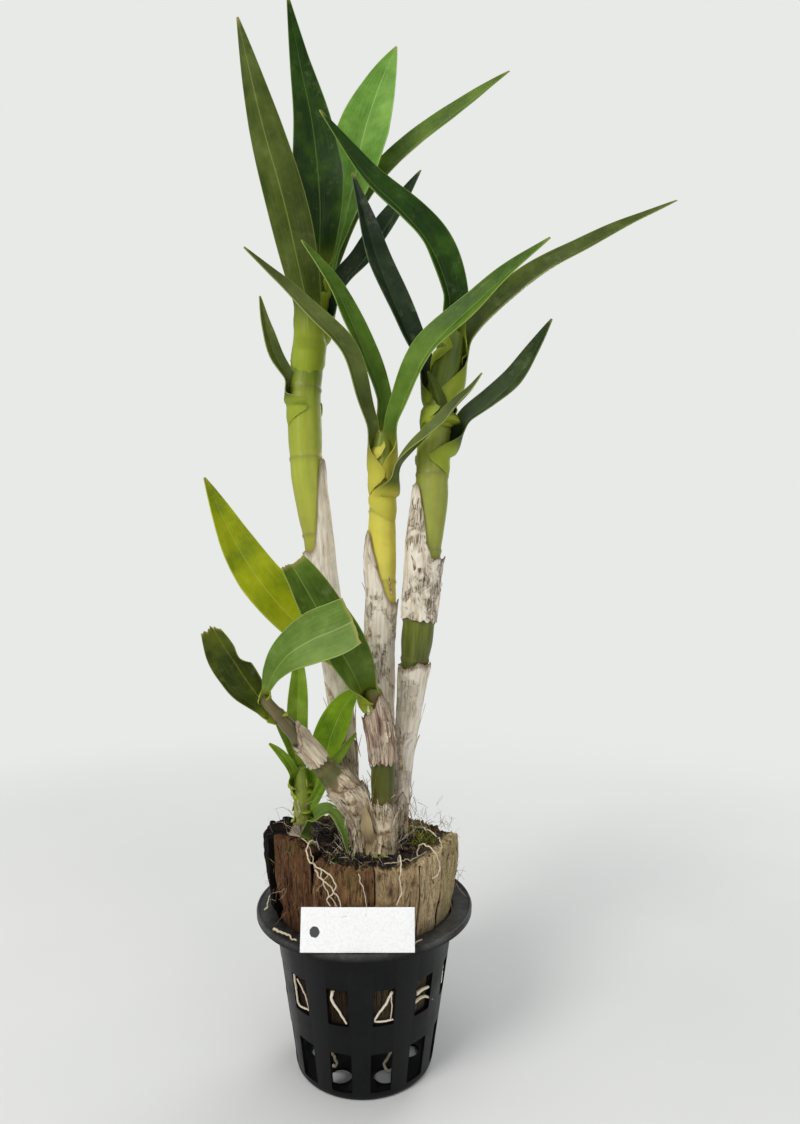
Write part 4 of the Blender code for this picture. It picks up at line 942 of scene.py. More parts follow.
def build_leaf(name, spec, order, rows, columns):
    """A leaf whose clasping base grows out of its cane's skin, loosens and unfolds into the blade."""
    cane, points, half_width, widest, face_base, face_tip, fold_base, fold_tip, kept_end, tone = spec
    route = Route(points)
    stem = Route(CANES[cane][0])
    radii = CANES[cane][1]
    start = stem.share_at_height(points[0][2])
    root = min(BLADE_ROOT, 0.7 * stem.blend(radii, start))
    slim = cane in SLIM_CANES or route.length < SLIM_LENGTH
    clasp = SLIM_CLASP if slim or cane == "cane_short" else CLASP_LENGTH
    loosening = min(0.3 * route.length, SLIM_LOOSENING if slim else LOOSENING)
    total = clasp + route.length
    face_base = Vector(face_base)
    face_tip = Vector(face_tip)
    phase = 0.7 * len(name) + 0.3 * sum(map(ord, name))
    swell = SLOW_SWELLS.get(name, BLADE_SWELL)
    taper = SLENDER_TAPERS.get(name, BLADE_TAPER)
    ragged = RAGGED_ENDS.get(name, 0.0)
    stem_end = stem.at(1.0)
    lift = 0.3 + 0.2 * (order % 4)

    def place(u, v):
        distance = u * total - clasp
        side = v * 2 - 1
        share = max(distance, 0.0) / route.length
        if ragged:
            share -= ragged * (0.6 + grain(side * 5, 3, phase)) * smooth(share, 0.75, 1.0)
        opened = min(share / OPENING_SHARE, 1.0)
        if distance < 0:
            stem_share = start + distance / stem.length
            centre = stem.at(stem_share)
            forward = stem.along(stem_share)
        else:
            centre = route.at(share)
            forward = route.along(share)
            stem_share = stem.share_at_height(min(centre.z, stem_end.z))
            if distance < loosening:
                near = distance / loosening
                forward = (stem.along(start) * (1 - near) + forward * near).normalized()
        face = face_base.lerp(face_tip, opened)
        across = forward.cross(face).normalized()
        upper = across.cross(forward).normalized()
        hold = 1 - smooth(distance, 0.0, loosening)
        sunk = 1 - smooth(distance, -clasp, -clasp * 0.35)
        tube = stem.blend(radii, stem_share) + lift - (lift + 0.9) * sunk
        tube += 0.12 * grain(distance * 0.3, side, phase)
        width = blade_half_width(share, root, half_width, widest, kept_end, swell, taper)
        fold = math.radians(fold_base + (fold_tip - fold_base) * opened)
        wave = 0.5 * math.sin(share * 5 * math.pi + phase) * side * side
        wave += 0.35 * grain(distance * 0.06, side * 1.5, phase)
        drift = abs(side) ** FOLD_POWER * width * math.sin(fold) + wave * min(width / half_width, 1.0)
        sideways = side * width * math.cos(fold)
        if hold > 0.001:
            grasp = CLASP_TURN * (0.25 + 0.75 * smooth(distance, -clasp, -clasp * 0.1))
            turn = grasp * hold
            arc = width + (tube * grasp - width) * hold
            around = arc * math.sin(turn * side) / turn
            out = arc * (1 - math.cos(turn * side)) / turn
            sideways = sideways + (around - sideways) * hold
            drift = drift + (out - drift) * hold
        return centre - upper * (tube * hold) + across * sideways + upper * drift

    leaf = new_grid(name + "_blade", rows, columns)
    shape_grid(leaf, place, uv=lambda u, v: (u * total / 100, v),
               reach=lambda u, v: (u * total - clasp) / route.length,
               sunny=lambda u, v: 1.0 if cane == "cane_middle" else 0.0)
    modify(leaf, "SOLIDIFY", thickness=(0.35 if slim else 0.5) * MM, offset=0.0, material_offset=1,
           material_offset_rim=0)
    return settle(leaf, [leaf_material(tone), underside_material()], [name])


def build_cane(name, material, sides, step):
    """A cane: internodes that swell a little, shallow lengthwise furrows and a ridge at each node."""
    points, radii, rings = CANES[name]
    route = Route(points)
    rows = round(route.length / step)
    seed = sum(map(ord, name)) % 13

    def ring_at(z):
        near = min(abs(z - ring) for ring in rings)
        return math.exp(-(near / 0.9) ** 2), near

    def place(u, v):
        angle = u * 2 * math.pi
        centre = route.at(v)
        ridge, near = ring_at(centre.z)
        furrow = 0.05 * math.cos(9 * angle + seed)
        furrow += 0.3 * grain(math.cos(angle) * 1.6, math.sin(angle) * 1.6, centre.z * 0.03, seed)
        swell = 0.35 * smooth(near, 0.0, 9.0) - 0.2
        radius = route.blend(radii, v) + ridge * 0.55 + furrow + swell - 0.25
        radius *= smooth(v, -0.001, 0.004) * (1 - smooth(v, 0.985, 1.0001))
        return centre + route.outwards(v, angle) * max(radius, 0.0)

    cane = new_grid(name + "_stem", sides, rows)
    shape_grid(cane, place, uv=lambda u, v: (u, v * route.length / 100),
               reach=lambda u, v: (route.at(v).z - CANE_FOOT_Z) / CANE_SPAN,
               ring=lambda u, v: 0.45 * ring_at(route.at(v).z - 0.6)[0])
    weld(cane)
    return settle(cane, [material], [name])


def build_sheath(name, spec, material, columns, rows):
    """A dead sheath: wrinkled paper round a cane, gaping at its slit, its top torn to points."""
    cane, foot_z, top_z, peak_z, first_deg, last_deg, peak_deg, tear, netting = spec
    points, radii, _ = CANES[cane]
    loose = 0.55 if name in SHEATHS else 0.3
    route = Route(points)
    foot = route.share_at_height(foot_z)
    seed = sum(map(ord, name)) % 17

    def place(u, v):
        angle = math.radians(first_deg + (last_deg - first_deg) * u)
        nearness = max(math.cos(angle - math.radians(peak_deg)), 0.0) ** 2.0
        jag = grain(u * 9, 0, 0, seed) * 0.6 + grain(u * 31, 0, 0, seed) * 0.3
        notch = -1.6 * max(grain(u * 6.5, 3.0, 0, seed) - 0.25, 0.0) * 2.0
        top_height = top_z + (peak_z - top_z) * nearness + tear * (jag + notch)
        top = route.share_at_height(top_height)
        frayed = foot - 0.6 * abs(grain(u * 14, 7, 0, seed)) * 6 / route.length
        share = frayed + (top - frayed) * v
        height = (share - foot) * route.length
        wrinkle = (0.3 + 0.35 * netting) * grain(u * 11, height * 0.07, 1.0, seed)
        wrinkle += (0.15 + 0.3 * netting) * grain(u * 30, height * 0.3, 2.0, seed)
        flare = 1.2 * v ** 6 * (0.5 + grain(u * 5, 0, 5.0, seed))
        lip = 0.5 * (abs(u - 0.5) * 2) ** 8
        radius = route.blend(radii, share) + loose + wrinkle + flare + lip
        return route.at(share) + route.outwards(share, angle) * radius

    sheath = new_grid(name + "_paper", columns, rows)
    shape_grid(sheath, place, uv=lambda u, v: (u, v * (peak_z - foot_z) / 100), reach=lambda u, v: v)
    modify(sheath, "SOLIDIFY", thickness=0.3 * MM, offset=1.0)
    return settle(sheath, [material], [name] if name in SHEATHS else (), 50.0)


def build_strips(rng, material):
    """Narrow torn strips of dry skin that lie on the canes and lift at their tips."""
    verts = []
    faces = []
    for cane, low, high, count, longest in STRIPS:
        points, radii, _ = CANES[cane]
        route = Route(points)
        for _ in range(count):
            begin = route.share_at_height(rng.uniform(low, high))
            reach = rng.uniform(0.35, 1.0) * longest / route.length * rng.choice((-1, 1, 1))
            angle = rng.uniform(-math.pi, math.pi)
            width = rng.uniform(0.4, 1.7)
            peel = rng.uniform(0.3, 3.2)
            sway = rng.uniform(-0.35, 0.35)
            start = len(verts)
            steps = 7
            for i in range(steps + 1):
                t = i / steps
                share = min(max(begin + reach * t, 0.0), 1.0)
                out = route.outwards(share, angle + sway * t)
                side = route.along(share).cross(out)
                radius = route.blend(radii, share) + 0.9 + peel * t ** 2.5 + 0.3 * grain(t * 3, angle, 0)
                spread = width * (1 - t ** 2 * 0.9) * (0.6 + 0.4 * min(t * 6, 1))
                centre = route.at(share) + out * radius
                for k in (-1, 0, 1):
                    place = centre + side * (spread * k) - out * (0.22 * spread * k * k)
                    verts.append(place * MM)
            for i in range(steps):
                for k in range(2):
                    a = start + i * 3 + k
                    faces.append((a, a + 1, a + 4, a + 3))
    strips = new_piece("peeling_strips", verts, faces)
    modify(strips, "SOLIDIFY", thickness=0.18 * MM, offset=0.0)
    return settle(strips, [material], (), 50.0)


def pot_inner_radius(z):
    """Radius of the pot's inner wall at a height."""
    rise = (z - POT_FLOOR - 1.0) / (POT_HEIGHT - 4.0 - POT_FLOOR)
    return POT_BASE_R - POT_WALL + (POT_MOUTH_R - 1.0 - POT_BASE_R + POT_WALL) * rise


def pot_profile():
    """Half section of the pot, from the middle of its floor over the wall and the flange and back."""
    body_top_z = POT_HEIGHT - 1.8
    inner_foot = POT_BASE_R - POT_WALL
    return [(0.0, POT_FLOOR), (inner_foot - 1.4, POT_FLOOR), (inner_foot - 0.4, POT_FLOOR + 0.3),
            (inner_foot, POT_FLOOR + 1.0), (POT_MOUTH_R - 1.0, POT_HEIGHT - 3.0),
            (POT_MOUTH_R - 0.3, POT_HEIGHT - 0.7), (POT_MOUTH_R, POT_HEIGHT - 0.15),
            (POT_MOUTH_R + 0.5, POT_HEIGHT), (FLANGE_R - 2.2, POT_HEIGHT),
            (FLANGE_R - 1.6, POT_HEIGHT + 0.15),
            (FLANGE_R - 1.3, POT_HEIGHT + FLANGE_LIP - 0.1), (FLANGE_R - 0.9, POT_HEIGHT + FLANGE_LIP),
            (FLANGE_R - 0.4, POT_HEIGHT + FLANGE_LIP - 0.1), (FLANGE_R, POT_HEIGHT - 0.4),
            (FLANGE_R - 0.1, POT_HEIGHT - 2.3), (FLANGE_R - 0.5, POT_HEIGHT - 2.6),
            (FLANGE_R - 1.2, POT_HEIGHT - 2.5), (FLANGE_R - 1.7, POT_HEIGHT - 1.5),
            (POT_MOUTH_R + 2.0, body_top_z), (POT_MOUTH_R + 1.0, body_top_z - 0.6),
            (POT_MOUTH_R + 0.5, body_top_z - 1.8), (POT_BASE_R + 0.3, 2.6), (POT_BASE_R - 0.1, 1.1),
            (POT_BASE_R - 0.8, 0.3), (POT_BASE_R - 1.6, 0.0), (0.0, 0.0)]


def build_pot(turns):
    """The net pot: a profile spun round, its wall slots and floor drains cut out with soft corners."""
    section = [(r * MM, 0.0, z * MM) for r, z in pot_profile()]
    pot = new_piece("pot_shell", section, [], edges=[(i, i + 1) for i in range(len(section) - 1)])
    select_only(pot)
    bpy.ops.object.mode_set(mode="EDIT")
    bpy.ops.mesh.select_all(action="SELECT")
    bpy.ops.mesh.spin(steps=turns, angle=2 * math.pi, center=(0, 0, 0), axis=(0, 0, 1))
    bpy.ops.mesh.select_all(action="SELECT")
    bpy.ops.mesh.remove_doubles(threshold=WELD_GAP)
    bpy.ops.mesh.normals_make_consistent(inside=False)
    bpy.ops.object.mode_set(mode="OBJECT")
    cutters = []
    for low, high in SLOT_ROWS:
        reach = pot_inner_radius((low + high) / 2)
        for i in range(SLOT_COUNT):
            turn = (i + 0.5) * 2 * math.pi / SLOT_COUNT
            bpy.ops.object.select_all(action="DESELECT")
            bpy.ops.mesh.primitive_cube_add(size=1.0)
            box = bpy.context.active_object
            for vert in box.data.vertices:
                x = vert.co.x * SLOT_WIDTH * (1.0 - 0.05 * (vert.co.z < 0))
                y = vert.co.y * 8.0 - reach
                z = low + (vert.co.z + 0.5) * (high - low)
                vert.co = Vector((x * math.cos(turn) - y * math.sin(turn),
                                  x * math.sin(turn) + y * math.cos(turn), z)) * MM
            modify(box, "BEVEL", width=0.7 * MM, segments=3, limit_method="NONE")
            cutters.append(box)
    for i in range(DRAIN_COUNT):
        angle = i * 2 * math.pi / DRAIN_COUNT
        bpy.ops.object.select_all(action="DESELECT")
        bpy.ops.mesh.primitive_cylinder_add(vertices=36, radius=DRAIN_R * MM, depth=4 * POT_FLOOR * MM)
        drain = bpy.context.active_object
        for vert in drain.data.vertices:
            vert.co += Vector((DRAIN_RING_R * math.cos(angle), DRAIN_RING_R * math.sin(angle),
                               POT_FLOOR / 2)) * MM
        cutters.append(drain)
    select_only(cutters[0])
    for cutter in cutters:
        cutter.select_set(True)
    bpy.ops.object.join()
    cutter = bpy.context.active_object
    modify(pot, "BOOLEAN", operation="DIFFERENCE", object=cutter, solver="EXACT")
    bpy.data.objects.remove(cutter, do_unlink=True)
    modify(pot, "BEVEL", width=0.18 * MM, segments=1, limit_method="ANGLE", angle_limit=math.radians(60))
    return settle(pot, [pot_material()], ["net_pot"], 35.0)


def husk_inner_radius(z):
    """Inside of the husk, just clear of the medium."""
    share = min(max((z - HUSK_FOOT_Z) / (POT_HEIGHT - HUSK_FOOT_Z), 0.0), 1.0)
    return MEDIUM_FOOT_R + (MEDIUM_TOP_R - MEDIUM_FOOT_R) * share + 0.3


def husk_outer_radius(z, top):
    """Outside of the husk: it follows the pot's wall to the mouth and leans out above it."""
    mouth = POT_MOUTH_R - 0.7
    if z <= POT_HEIGHT:
        return min(pot_inner_radius(z) - 0.45, mouth)
    share = (z - POT_HEIGHT) / (top - POT_HEIGHT)
    return mouth + (HUSK_TOP_R - mouth) * math.sin(min(share * 1.3, 1.0) * math.pi / 2)


def knots_at(angle, z):
    """How strongly a place on the husk lies on the rim and in the eye of a knot."""
    ring = 0.0
    eye = 0.0
    for knot_deg, knot_z, knot_r in HUSK_KNOTS:
        away = math.hypot((angle - math.radians(knot_deg)) * HUSK_MIDDLE_R, (z - knot_z) * 0.75) / knot_r
        if away < 2.2:
            ring += math.exp(-((away - 1) * 3) ** 2)
            eye += math.exp(-(away * 1.8) ** 2)
    return ring, eye


def build_husk(name, spec, columns_per_deg, rows):
    """A slab of husk as one grid wrapped up its inside, over its broken top and down its outside."""
    first, last, top_first, top_middle, top_last, tone, bulge = spec
    seed = abs(first) % 23 / 3
    columns = round((last - first) * columns_per_deg)
    rough = 1.9 if tone == "charred" else 1.6

    def place(u, v):
        angle = math.radians(first) + math.radians(last - first) * (0.012 + 0.976 * u)
        peak = 1 - abs(2 * u - 1)
        arc = angle * HUSK_MIDDLE_R
        top = (top_first * (1 - u) + top_last * u) * (1 - peak) + top_middle * peak
        top += rough * (1.2 * grain(arc * 0.35, 0, 0, seed) + 0.8 * grain(arc * 1.2, 4, 0, seed)
                        + 0.5 * grain(arc * 3.1, 9, 0, seed))
        rim = 0.0
        if v < INSIDE_END:
            z = HUSK_FOOT_Z + (top - 1.5 - HUSK_FOOT_Z) * (v / INSIDE_END)
            radius = husk_inner_radius(z) + 0.5 * grain(arc * 0.3, z * 0.2, 3, seed)
        elif v < RIM_END:
            rim = (v - INSIDE_END) / (RIM_END - INSIDE_END)
            inner = husk_inner_radius(top)
            outer = husk_outer_radius(top, top)
            broken = 1.5 * grain(arc * 0.5, rim * 5, 8, seed) * math.sin(math.pi * rim)
            z = top - 1.5 * (1 - rim) ** 2 + broken
            radius = inner + (outer - inner) * rim
        else:
            down = (v - RIM_END) / (1 - RIM_END)
            z = top + (HUSK_FOOT_Z - top) * down ** 1.25
            radius = husk_outer_radius(z, top)
        free = smooth(z, POT_HEIGHT + 0.5, POT_HEIGHT + 5)
        if v >= RIM_END or rim > 0.5:
            ridges = 0.5 * grain(arc * 0.55, z * 0.05, 11, seed) + 0.4 * grain(arc * 1.7, z * 0.09, 12, seed)
            lumps = 0.7 * grain(arc * 0.12, z * 0.1, 13, seed)
            split = max(grain(arc * 0.28, z * 0.03, 19, seed) - 0.33, 0.0)
            ring, eye = knots_at(angle, z)
            knots = 0.9 * ring - 0.6 * eye
            radius += ((ridges + lumps) * rough + knots - 0.7 - 6.5 * split) * (0.25 + 0.75 * free)
            radius += bulge * free * (0.75 + 0.5 * grain(z * 0.12, arc * 0.1, 4, seed))
        return Vector((radius * math.sin(angle), -radius * math.cos(angle), z))

    # How strongly a knot is painted dark: partly its own colour, partly painted shade in its sunken eye
    def knot(u, v):
        spot = place(u, v)
        ring, eye = knots_at(math.atan2(spot.x, -spot.y), spot.z)
        return 0.65 * max(ring * 0.4, eye) if v > RIM_END else 0.0

    husk = new_grid(name + "_rind", columns, rows)
    arc_tens = math.radians(last - first) * HUSK_MIDDLE_R / 10
    # inside marks where painted shade darkens the inner face and the inner half of the top
    shape_grid(husk, place, uv=lambda u, v: (seed + u * arc_tens, v * 12.0), knot=knot,
               inside=lambda u, v: 0.85 * (1 - smooth(v, 0.24, 0.345)))
    weld(husk, fill=True)
    return settle(husk, [husk_material(tone)], [name], 50.0)


def medium_height(x, y):
    """Height of the medium's lumpy top: it rises round the canes' feet."""
    rise = 5.0 * math.exp(-((x - 4) ** 2 + (y + 2) ** 2) / 340)
    rise += 4.0 * math.exp(-((x + 29) ** 2 + (y + 2) ** 2) / 60)
    return MEDIUM_TOP_Z + rise + 1.6 * grain(x * 0.13, y * 0.13, 0) + 1.0 * grain(x * 0.4, y * 0.4, 4)


def build_medium(material, around, rows):
    """The plug of medium: its lumpy top, its side inside the husk and its underside."""
    def place(u, v):
        angle = u * 2 * math.pi
        if v < 0.5:
            radius = MEDIUM_TOP_R * v / 0.5
            x = radius * math.cos(angle)
            y = radius * math.sin(angle)
            return Vector((x, y, medium_height(x, y)))
        if v < 0.75:
            down = (v - 0.5) / 0.25
            z = MEDIUM_TOP_Z + (MEDIUM_FOOT_Z - MEDIUM_TOP_Z) * down
            radius = husk_inner_radius(z) - 0.5 + 0.4 * grain(angle * 4, z * 0.2, 0)
        else:
            inward = (v - 0.75) / 0.25
            radius = (MEDIUM_FOOT_R - 0.2) * (1 - inward)
            z = MEDIUM_FOOT_Z + 2.0 * grain(radius * math.cos(angle) * 0.2, radius * math.sin(angle) * 0.2, 9)
        return Vector((radius * math.cos(angle), radius * math.sin(angle), z))

    medium = new_grid("medium_plug", around, rows)
    shape_grid(medium, place)
    weld(medium)
    return settle(medium, [material], ["potting_medium"], 180.0)


def build_chips(rng, count, material):
    """Broken bits of bark and husk lying on the medium."""
    verts = []
    faces = []
    tones = []
    box = [(x, y, z) for x in (-1, 1) for y in (-1, 1) for z in (-1, 1)]
    quads = [(0, 1, 3, 2), (4, 6, 7, 5), (0, 4, 5, 1), (2, 3, 7, 6), (0, 2, 6, 4), (1, 5, 7, 3)]
    for _ in range(count):
        x, y = scatter(rng, CHIP_REACH)
        size = Vector((rng.uniform(0.6, 3.2), rng.uniform(0.4, 1.4), rng.uniform(0.3, 0.9)))
        turn = Vector((rng.gauss(0, 1), rng.gauss(0, 1), rng.gauss(0, 0.5))).normalized()
        beside = turn.cross(Vector((0.1, 0.2, 1))).normalized()
        above = turn.cross(beside)
        centre = Vector((x, y, medium_height(x, y) + rng.uniform(-0.5, 1.0)))
        start = len(verts)
        tone = rng.random()
        for cx, cy, cz in box:
            spread = Vector([c * s * rng.uniform(0.5, 1.1) for c, s in zip((cx, cy, cz), size)])
            verts.append((centre + turn * spread.x + beside * spread.y + above * spread.z) * MM)
            tones.append(tone)
        faces.extend(tuple(start + i for i in quad) for quad in quads)
    chips = new_piece("bark_chips", verts, faces, tones)
    weld(chips)
    return settle(chips, [material], (), 25.0)


def root_path(points, stray, step=0.9):
    """A root's centre line through its points, wandering by stray."""
    route = Route(points)
    steps = max(6, round(route.length / step))
    path = []
    for i in range(steps + 1):
        give = stray * min(i, steps - i, 3) / 3
        path.append(route.at(i / steps) + Vector((grain(i * 0.4, 1, 0), grain(i * 0.4, 2, 0),
                                                  grain(i * 0.4, 3, 0))) * give)
    return path


def build_roots(material):
    """The main roots, one piece each, and the fine ones in one piece."""
    for name, points in ROOTS.items():
        slim = ROOT_R * (0.42 if "over" in name else 0.85)
        piece = strand_mesh(name + "_skin", [(root_path(points, 0.9), slim, slim * 0.7, 0.6)], 10)
        settle(piece, [material], [name])
    strands = [(root_path(points, 1.1), radius * 0.75, radius * 0.35, 0.3 + 0.4 * (i % 3) / 2)
               for i, (points, radius) in enumerate(FINE_ROOTS)]
    for i, (slot_deg, points, radius) in enumerate(SLOT_ROOTS):
        turn = math.radians(slot_deg)
        loop = []
        for x, z in points:
            out = pot_inner_radius(z) + 0.5
            loop.append((x * math.cos(turn) + out * math.sin(turn),
                         x * math.sin(turn) - out * math.cos(turn), z))
        strands.append((root_path(loop, 0.3), radius, radius * 0.6, 0.75 + 0.25 * (i % 2)))
    settle(strand_mesh("fine_roots", strands, 7), [material], ())


def build_card(material):
    """The plain label: thin card, barely bowed, with softened edges."""
    bpy.ops.object.select_all(action="DESELECT")
    bpy.ops.mesh.primitive_cube_add(size=1.0)
    card = bpy.context.active_object
    card.name = "plain_card"
    card.data.name = "plain_card"
    bpy.ops.object.mode_set(mode="EDIT")
    bpy.ops.mesh.subdivide(number_cuts=15)
    bpy.ops.object.mode_set(mode="OBJECT")
    lean = math.radians(CARD_LEAN_DEG)
    foot = Vector(CARD_FOOT)
    for vert in card.data.vertices:
        x = vert.co.x * CARD_WIDTH
        height = (vert.co.z + 0.5) * CARD_HEIGHT
        depth = vert.co.y * CARD_THICKNESS * 0.7 + 0.25 * (vert.co.x * 2) ** 2
        vert.co = (foot + Vector((x, depth * math.cos(lean) + height * math.sin(lean),
                                  height * math.cos(lean) - depth * math.sin(lean)))) * MM
    modify(card, "BEVEL", width=0.12 * MM, segments=2, limit_method="ANGLE", angle_limit=math.radians(40))
    return settle(card, [material], ["label_card"], 30.0)


# Settings, operators and the panel

class OrchidLeafSettings(bpy.types.PropertyGroup):
    rows: IntProperty(name="Blade Rows", description="Faces along each blade", default=56, min=8)
    columns: IntProperty(name="Blade Columns", description="Faces across each blade", default=16, min=4)


class OrchidStemSettings(bpy.types.PropertyGroup):
    sides: IntProperty(name="Cane Sides", description="Faces round each cane", default=40, min=8)
    step: FloatProperty(name="Cane Step", description="Length of a face along a cane, in millimetres",
                        default=1.0, min=0.2)
    sheath_columns: IntProperty(name="Sheath Columns", description="Faces round each papery sheath",
                                default=84, min=12)
    sheath_rows: IntProperty(name="Sheath Rows", description="Faces up each papery sheath", default=44, min=6)
    hair_count: IntProperty(name="Hairs", description="Pale dry fibres round the feet of the canes",
                            default=430, min=0)


class OrchidPotSettings(bpy.types.PropertyGroup):
    turns: IntProperty(name="Pot Steps", description="Faces round the pot", default=132, min=24)
    husk_columns: FloatProperty(name="Husk Columns", description="Faces per degree round the husk",
                                default=1.3, min=0.2)
    husk_rows: IntProperty(name="Husk Rows", description="Faces round a husk slab's section",
                           default=110, min=20)
    chip_count: IntProperty(name="Bark Chips", description="Broken bits on the medium", default=260, min=0)
    fibre_count: IntProperty(name="Medium Fibres", description="Loose dark fibres on the medium",
                             default=520, min=0)


class OrchidStageSettings(bpy.types.PropertyGroup):
    key_power: FloatProperty(name="Key Light", description="Power of the large soft light", default=10.5,
                             min=0.0, unit="POWER")
    camera_height: FloatProperty(name="Camera Height", description="Height of the level camera",
                                 default=0.238, unit="LENGTH", subtype="DISTANCE")
    world_colour: FloatVectorProperty(name="Room Light", description="Colour of the even light of the room",
                                      default=(0.86, 0.88, 0.9), min=0.0, max=1.0, subtype="COLOR")


class OrchidOperator:
    """What the operators share: each one makes its pieces from the scene's settings."""
    bl_options = {"REGISTER", "UNDO"}

    def execute(self, context):
        self.make(context.scene)
        return {"FINISHED"}


class ORCHID_OT_pot(OrchidOperator, bpy.types.Operator):
    """Spin the net pot and cut its slots and drains"""
    bl_idname = "orchid.pot"
    bl_label = "Net Pot"

    def make(self, scene):
        build_pot(scene.orchid_pot.turns)


class ORCHID_OT_husk(OrchidOperator, bpy.types.Operator):
    """Make the slabs of coconut husk that line the pot"""
    bl_idname = "orchid.husk"
    bl_label = "Coconut Husk"

    def make(self, scene):
        settings = scene.orchid_pot
        for name, spec in HUSK_PIECES.items():
            build_husk(name, spec, settings.husk_columns, settings.husk_rows)
        rng = random.Random(5)
        strands = []
        for _ in range(HUSK_FIBRES):
            angle = math.radians(rng.uniform(-90, 270))
            z = rng.uniform(80, 108)
            radius = HUSK_FACE_R + rng.uniform(-0.6, 0.6)
            if rng.random() < 0.4:
                z = rng.uniform(102, 112)
                radius = rng.uniform(37, 45)
            start = (radius * math.sin(angle), -radius * math.cos(angle), z)
            heading = (math.sin(angle) * 0.5 + rng.gauss(0, 0.2), -math.cos(angle) * 0.5 + rng.gauss(0, 0.2),
                       rng.choice((-1, 1)) * 1.0)
            strands.append(hair(rng, start, heading, (2.5, 8), 6, 0.22, (0.07, 0.16), 0.04))
        fibres = strand_mesh("husk_fibres", strands)
        finish = strand_material("dry_coir_fibre", ((0.0, "#4a3524"), (0.5, "#8f7250"), (1.0, "#cdb58c")))
        settle(fibres, [finish], ())


class ORCHID_OT_medium(OrchidOperator, bpy.types.Operator):
    """Make the lumpy medium, its bark chips, loose fibres and moss"""
    bl_idname = "orchid.medium"
    bl_label = "Potting Medium"

    def make(self, scene):
        settings = scene.orchid_pot
        rng = random.Random(8)
        build_medium(medium_material(), *MEDIUM_FACES)
        chip = strand_material("broken_bark", ((0.0, "#0d0906"), (0.6, "#2b1e14"), (1.0, "#6a523a")), 0.85)
        build_chips(rng, settings.chip_count, chip)
        strands = []
        for _ in range(settings.fibre_count):
            x, y = scatter(rng, FIBRE_REACH)
            heading = (rng.gauss(0, 1), rng.gauss(0, 1), rng.uniform(0.0, 1.0))
            start = (x, y, medium_height(x, y))
            strands.append(hair(rng, start, heading, (5, 16), 8, 0.3, (0.1, 0.28), 0.06, 0.08))
        finish = strand_material("loose_dark_fibre", ((0.0, "#0a0705"), (0.7, "#2a1d13"), (0.88, "#7d6a4c"),
                                                      (1.0, "#e8dcc0")))
        settle(strand_mesh("medium_fibres", strands), [finish], ())
        moss = []
        for cx, cy, spread, count in MOSS_TUFTS:
            for _ in range(count):
                x = cx + rng.gauss(0, spread)
                y = cy + rng.gauss(0, spread)
                if math.hypot(x, y) > MOSS_REACH:
                    continue
                heading = (rng.gauss(0, 0.6), rng.gauss(0, 0.6), 1)
                start = (x, y, medium_height(x, y) - 0.5)
                moss.append(hair(rng, start, heading, (2.5, 7), 5, 0.35, (0.16, 0.34), 0.08))
        finish = strand_material("living_moss", ((0.0, "#3a4210"), (0.5, "#7f8526"), (1.0, "#c4bf4c")))
        settle(strand_mesh("moss_tufts", moss), [finish], ())


class ORCHID_OT_canes(OrchidOperator, bpy.types.Operator):
    """Make the canes and the young shoot"""
    bl_idname = "orchid.canes"
    bl_label = "Canes"

    def make(self, scene):
        settings = scene.orchid_stem
        for name, (stops, streak) in CANE_SKINS.items():
            skin = cane_material(name + "_skin", stops, streak, (PAPER_TOPS[name] - CANE_FOOT_Z) / CANE_SPAN)
            build_cane(name, skin, settings.sides, settings.step)


class ORCHID_OT_sheaths(OrchidOperator, bpy.types.Operator):
    """Wrap the dead papery sheaths round the canes"""
    bl_idname = "orchid.sheaths"
    bl_label = "Papery Sheaths"

    def make(self, scene):
        settings = scene.orchid_stem
        for name, spec in SHEATHS.items():
            finish = sheath_material(name + "_paper", spec[-1], PAPER_SKINS.get(name, BLEACHED))
            build_sheath(name, spec, finish, settings.sheath_columns, settings.sheath_rows)
        finish = sheath_material("loose_dry_skin", 0.9, BROWNED)
        for name, spec in WRAPS.items():
            build_sheath(name, spec, finish, settings.sheath_columns * 2 // 3, settings.sheath_rows // 2)
        shred = strip_material()
        build_strips(random.Random(3), shred)


class ORCHID_OT_leaves(OrchidOperator, bpy.types.Operator):
    """Make every leaf blade with its clasping base"""
    bl_idname = "orchid.leaves"
    bl_label = "Leaves"

    def make(self, scene):
        settings = scene.orchid_leaf
        for order, (name, spec) in enumerate(LEAVES.items()):
            build_leaf(name, spec, order, settings.rows, settings.columns)


class ORCHID_OT_roots(OrchidOperator, bpy.types.Operator):
    """Make the pale roots and the dry hairs round the feet of the canes"""
    bl_idname = "orchid.roots"
    bl_label = "Roots and Hairs"

    def make(self, scene):
        settings = scene.orchid_stem
        rng = random.Random(21)
        root = strand_material("pale_root_skin", ((0.0, "#8a765c"), (0.5, "#cdbd9f"), (1.0, "#eadfca")), 0.75)
        build_roots(root)
        strands = []
        for x, y, radius, share in CANE_FEET:
            for _ in range(round(settings.hair_count * share)):
                angle = rng.uniform(0, 2 * math.pi)
                z = MEDIUM_TOP_Z + abs(rng.gauss(0, 1)) * 12
                start = (x + radius * math.cos(angle), y + radius * math.sin(angle), z)
                heading = (math.cos(angle) * rng.uniform(0.0, 0.8), math.sin(angle) * rng.uniform(0.0, 0.8),
                           rng.choice((-1, -1, 1)))
                strands.append(hair(rng, start, heading, (5, 15), 9, 0.2, (0.08, 0.22), 0.04, 0.05))
        hairs = strand_material("dry_pale_hair", ((0.0, "#7c6248"), (0.4, "#c4ae8c"), (1.0, "#f0e8d6")))
        settle(strand_mesh("base_hairs", strands), [hairs], ())


class ORCHID_OT_card(OrchidOperator, bpy.types.Operator):
    """Stand the plain card on the flange"""
    bl_idname = "orchid.card"
    bl_label = "Plain Card"

    def make(self, scene):
        build_card(card_material())


